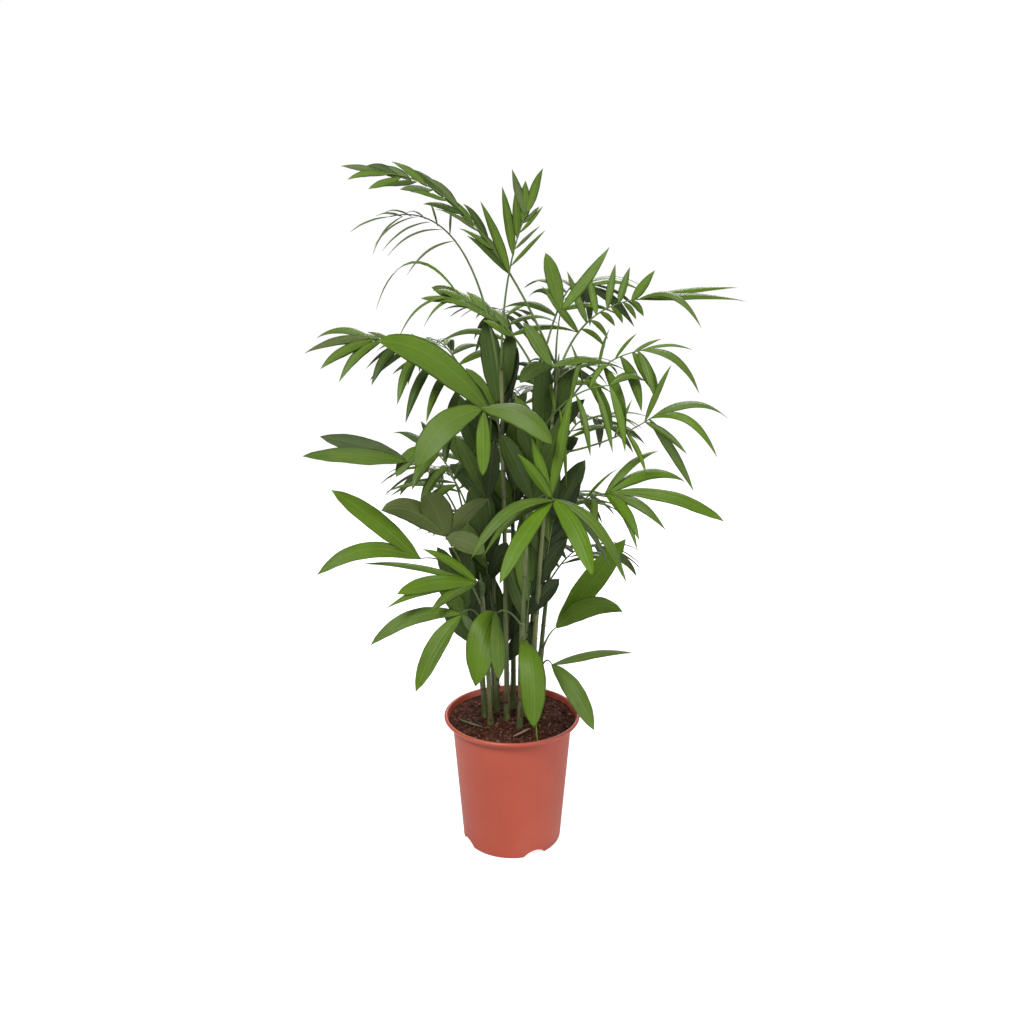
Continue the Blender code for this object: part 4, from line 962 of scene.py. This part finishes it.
# Pot
def curve_points(start, bend, end, steps):
    """Points along a smooth bend between two places of a profile."""
    found = []
    for k in range(steps + 1):
        share = k / steps
        weights = ((1 - share) ** 2, 2 * share * (1 - share), share**2)
        found.append(tuple(sum(w * p[i] for w, p in zip(weights, (start, bend, end))) for i in (0, 1)))
    return found


def pot_profile():
    """The pot's wall as (radius, height), from the inner floor over the lip to the foot."""
    inner = (NECK_RADIUS - POT_WALL, NECK - 0.0020)
    flare_inner = (RIM_RADIUS - 0.0097, NECK + 0.0054)
    rim_inner = (RIM_RADIUS - 0.0071, POT_HEIGHT - 0.0030)
    points = [(0.0, POT_FLOOR), (wall_radius(POT_FLOOR) - POT_WALL, POT_FLOOR)]
    points.append((inner[0] - 0.0006, NECK - 0.012))
    points += curve_points(inner, (flare_inner[0], inner[1] + 0.003), flare_inner, 6)
    points += curve_points(flare_inner, (rim_inner[0] - 0.001, flare_inner[1] + 0.004), rim_inner, 4)[1:]
    middle = (RIM_RADIUS - 0.0035, POT_HEIGHT - 0.0034)
    for k in range(BEAD_ROWS + 1):
        turn = math.radians(165 - 215 * k / BEAD_ROWS)
        points.append((middle[0] + 0.0035 * math.cos(turn), middle[1] + 0.0034 * math.sin(turn)))
    flare = (NECK_RADIUS + LIP_STEP, NECK)
    points += curve_points(points[-1], (RIM_RADIUS - 0.0042, NECK + 0.0050), flare, 7)[1:]
    points.append((NECK_RADIUS + LIP_STEP * 0.8, NECK - 0.0008))
    points.append((NECK_RADIUS - 0.0002, NECK - 0.0010))
    for k in range(WALL_ROWS + 1):
        height = (NECK - 0.003) + (FOOT_ROUNDING - NECK + 0.003) * k / WALL_ROWS
        points.append((wall_radius(height), height))
    for k in range(1, FOOT_ROWS + 1):
        turn = math.pi / 2 * k / FOOT_ROWS
        radius = wall_radius(FOOT_ROUNDING) - FOOT_ROUNDING * (1 - math.cos(turn))
        points.append((radius, FOOT_ROUNDING * (1 - math.sin(turn))))
    return points + [(FOOT_RADIUS * 0.5, 0.0), (0.0, 0.0)]


def make_pot(material):
    """The profile turned about Z, with the drain notches cut from its foot."""
    mesh = bpy.data.meshes.new("fine_pot")
    points = [(radius, 0, height) for radius, height in pot_profile()]
    mesh.from_pydata(points, [(k, k + 1) for k in range(len(points) - 1)], [])
    pot = placed_object("fine_pot", mesh)
    screw = pot.modifiers.new("Turn", "SCREW")
    screw.steps = POT_FINE_SIDES
    screw.use_merge_vertices = True
    screw.merge_threshold = 0.00001
    cutters = [notch_cutter(k) for k in range(NOTCH_COUNT)]
    for cutter in cutters:
        cut = pot.modifiers.new("Notch", "BOOLEAN")
        cut.operation = "DIFFERENCE"
        cut.solver = "EXACT"
        cut.object = cutter
    graph = bpy.context.evaluated_depsgraph_get()
    done = bpy.data.meshes.new_from_object(pot.evaluated_get(graph))
    pot.modifiers.clear()
    pot.data = done
    for cutter in cutters:
        bpy.data.objects.remove(cutter)
    done.materials.append(material)
    done.shade_smooth()
    done.set_sharp_from_angle(angle=math.radians(38))
    dressed(pot, ["pot"])


def notch_cutter(index):
    """A lying cylinder that cuts an arched notch into the pot's foot."""
    radius = ((NOTCH_WIDTH / 2) ** 2 + NOTCH_HEIGHT**2) / (2 * NOTCH_HEIGHT)
    turn = math.radians(NOTCH_TURN + 360 / NOTCH_COUNT * index)
    mesh = bpy.data.meshes.new("notch")
    bm = bmesh.new()
    bmesh.ops.create_cone(
        bm, cap_ends=True, segments=NOTCH_SIDES, radius1=radius, radius2=radius, depth=2 * NOTCH_DEPTH
    )
    bmesh.ops.transform(bm, matrix=Matrix.Rotation(math.pi / 2, 4, "Y"), verts=bm.verts)
    bm.to_mesh(mesh)
    bm.free()
    cutter = placed_object("notch", mesh)
    cutter.location = (FOOT_RADIUS * math.cos(turn), FOOT_RADIUS * math.sin(turn), NOTCH_HEIGHT - radius)
    cutter.rotation_euler = (0, 0, turn)
    return cutter


# Soil
def soil_height(x, y):
    spot = Vector((x, y, 0))
    rough = noise.fractal(spot * 42, 0.9, 2.1, 6)
    lumps = noise.fractal(spot * 130 + Vector((3, 1, 4)), 0.8, 2.0, 4)
    return SOIL_TOP - 0.001 + 0.0024 * rough + 0.0014 * lumps


def soil_ring(heap, radius, height=None):
    """A ring of points at one height, or on the rough surface."""
    ring = []
    for j in range(SOIL_SECTORS):
        turn = 2 * math.pi * j / SOIL_SECTORS
        x, y = radius * math.cos(turn), radius * math.sin(turn)
        ring.append(heap.add_point((x, y, soil_height(x, y) if height is None else height)))
    return ring


def make_soil(materials):
    """A crumbly surface that closes over sides which follow the pot's inner wall."""
    heap = Heap()
    middle = heap.add_point((0, 0, soil_height(0, 0)))
    rings = [soil_ring(heap, SOIL_EDGE * i / SOIL_RINGS) for i in range(1, SOIL_RINGS + 1)]
    neck = NECK - 0.002
    sides = [rings[-1], soil_ring(heap, RIM_RADIUS - 0.0110, neck + 0.0074)]
    for height in (neck + GAP, POT_FLOOR + GAP):
        sides.append(soil_ring(heap, wall_radius(height) - POT_WALL - GAP, height))
    for j in range(SOIL_SECTORS):
        n = (j + 1) % SOIL_SECTORS
        heap.add_face((middle, rings[0][j], rings[0][n]))
        for high, low in zip(sides, sides[1:]):
            heap.add_face((high[n], high[j], low[j], low[n]))
    for inner, outer in zip(rings, rings[1:]):
        for j in range(SOIL_SECTORS):
            n = (j + 1) % SOIL_SECTORS
            heap.add_face((inner[j], outer[j], outer[n], inner[n]))
    heap.add_face(reversed(sides[-1]))
    heap.piece("fine_soil", [materials[0]], "soil", ["soil"])


def soil_spot(chance, reach):
    """A place on the soil, by chance, as x and y."""
    radius = reach * math.sqrt(chance.random())
    turn = chance.uniform(0, 2 * math.pi)
    return radius * math.cos(turn), radius * math.sin(turn)


def add_chip(heap, kind, chance):
    """A jagged box of bark, sunk a little into the soil."""
    x, y = soil_spot(chance, SOIL_EDGE - 0.006)
    size = Vector([chance.uniform(*limits) for limits in CHIP_SIZES])
    tilt = Matrix.Rotation(chance.uniform(0, 6.28), 3, "Z")
    for axis in "XY":
        tilt = tilt @ Matrix.Rotation(chance.uniform(-CHIP_TILT, CHIP_TILT), 3, axis)
    base = Vector((x, y, soil_height(x, y) + size.z * 0.4))
    corners = []
    for z in (-1, 1):
        for x, y in SQUARE:
            jag = Vector((chance.uniform(0.6, 1.1) * x, chance.uniform(0.5, 1.1) * y, z))
            corners.append(heap.add_point(base + tilt @ Vector(a * b * 0.5 for a, b in zip(jag, size))))
    for face in CHIP_FACES:
        heap.add_face([corners[n] for n in face], kind)


def add_fibre(heap, kind, chance):
    """A thin curved thread on the soil, which ends where it meets the pot's wall."""
    spot = Vector((*soil_spot(chance, SOIL_EDGE - 0.01), 0))
    way = chance.uniform(0, 2 * math.pi)
    bend = chance.uniform(-1.6, 1.6)
    path = []
    for i in range(FIBRE_STEPS + 1):
        heading = way + bend * i / FIBRE_STEPS
        spot = spot + Vector((math.cos(heading), math.sin(heading), 0)) * chance.uniform(0.0015, 0.0040)
        if spot.xy.length > SOIL_EDGE - 0.002:
            break
        lift = 0.0008 + 0.0012 * math.sin(math.pi * i / FIBRE_STEPS)
        path.append(Vector((spot.x, spot.y, soil_height(spot.x, spot.y) + lift)))
    if len(path) > 2:
        add_tube(heap, path, [FIBRE_RADIUS] * len(path), 4, kind)


def make_chips(materials):
    """Bark chips and coir fibres that lie on the soil."""
    heap = Heap()
    chance = random.Random("bark")
    for k in range(CHIPS):
        add_chip(heap, CHIP_KINDS[k % 4], chance)
    for k in range(FIBRES):
        add_fibre(heap, 1 if k % 2 else 2, chance)
    heap.piece("bark_chips", materials, "soil")


def make_litter(materials):
    """A dry leaflet and a bit of straw on the soil in front of the canes."""
    heap = Heap()
    chance = random.Random("litter")
    for kind, (start, end, width) in enumerate(LITTER):
        run = Vector((end[0] - start[0], end[1] - start[1], 0.004))
        root = Vector((*start, LITTER_LEVEL))
        flat = UP.cross(run).normalized()
        add_leaf(heap, (root, run.normalized(), flat, run.length, width, 0.05), (kind, kind), chance)
    heap.piece("litter", materials, "soil")


# Studio
def make_world():
    """White behind the plant, and a softer white as its light."""
    world = bpy.data.worlds.new("studio")
    world.use_nodes = True
    tree = world.node_tree
    light = tree.nodes["Background"]
    feed(tree, light, {"Color": WHITE, "Strength": SKY_LIGHT})
    backdrop = add_node(tree, "Background", {"Color": WHITE, "Strength": 1.0})
    seen = add_node(tree, "LightPath", {}).outputs["Is Camera Ray"]
    mix = add_node(tree, "MixShader", {"Fac": seen, 1: light.outputs[0], 2: backdrop.outputs[0]})
    feed(tree, tree.nodes["World Output"], {"Surface": mix.outputs[0]})
    bpy.context.scene.world = world


def make_floor():
    """A plain pale floor that looks white."""
    material, tree, shader = start_material("floor", 0.9)
    seen = add_node(tree, "LightPath", {}).outputs["Is Camera Ray"]
    glow = calc(tree, "MULTIPLY", seen, FLOOR_GLOW)
    colour = (FLOOR_TONE, FLOOR_TONE, FLOOR_TONE, 1)
    feed(tree, shader, {"Base Color": colour, "Emission Color": WHITE, "Emission Strength": glow})
    mesh = bpy.data.meshes.new("floor")
    size = FLOOR_SIZE / 2
    mesh.from_pydata([(x * size, y * size, 0) for x, y in SQUARE], [], [(0, 1, 2, 3)])
    mesh.materials.append(material)
    floor = placed_object("floor", mesh)
    floor.location.z = -FLOOR_DROP


def make_lamps():
    for name, (place, size, power) in LAMPS.items():
        light = bpy.data.lights.new(name, "AREA")
        light.shape = "DISK"
        light.size = size
        light.energy = power
        lamp = placed_object(name, light)
        lamp.location = place
        lamp.rotation_euler = (LAMP_AIM - Vector(place)).to_track_quat("-Z", "Y").to_euler()


def make_camera():
    scene = bpy.context.scene
    data = bpy.data.cameras.new("camera")
    data.lens = CAMERA_LENS
    camera = placed_object("camera", data)
    camera.location = CAMERA_PLACE
    camera.rotation_euler = (math.radians(90 - CAMERA_DOWN), 0, 0)
    scene.camera = camera
    scene.view_settings.view_transform = "Standard"
    scene.view_settings.look = "None"


def main():
    make_world()
    make_floor()
    make_lamps()
    make_camera()
    fronds = [*FRONT_FRONDS, *core_fronds(), *rear_fronds()]
    clear_ribs(fronds)
    greens = []
    for name, (upper, lower, roughness) in TONES.items():
        greens.append(leaf_material("leaf_" + name, upper, roughness, 1.35, LEAF_GLOSS))
        greens.append(leaf_material("underside_" + name, lower, roughness + 0.12, 1.25, UNDERSIDE_GLOSS))
    make_leaves(fronds, greens)
    stem, sheath, bark, husk = (stem_material(name, *look) for name, look in STEMS.items())
    make_ribs(fronds, [stem, sheath])
    make_canes([bark, husk])
    make_pot(pot_material("terracotta_plastic"))
    soils = [soil_material(name, *look) for name, look in SOILS.items()]
    make_soil(soils)
    make_chips(soils)
    dry = LITTER_COLOURS.items()
    make_litter([leaf_material(name, colour, 0.7, 1.3, UNDERSIDE_GLOSS) for name, colour in dry])


main()
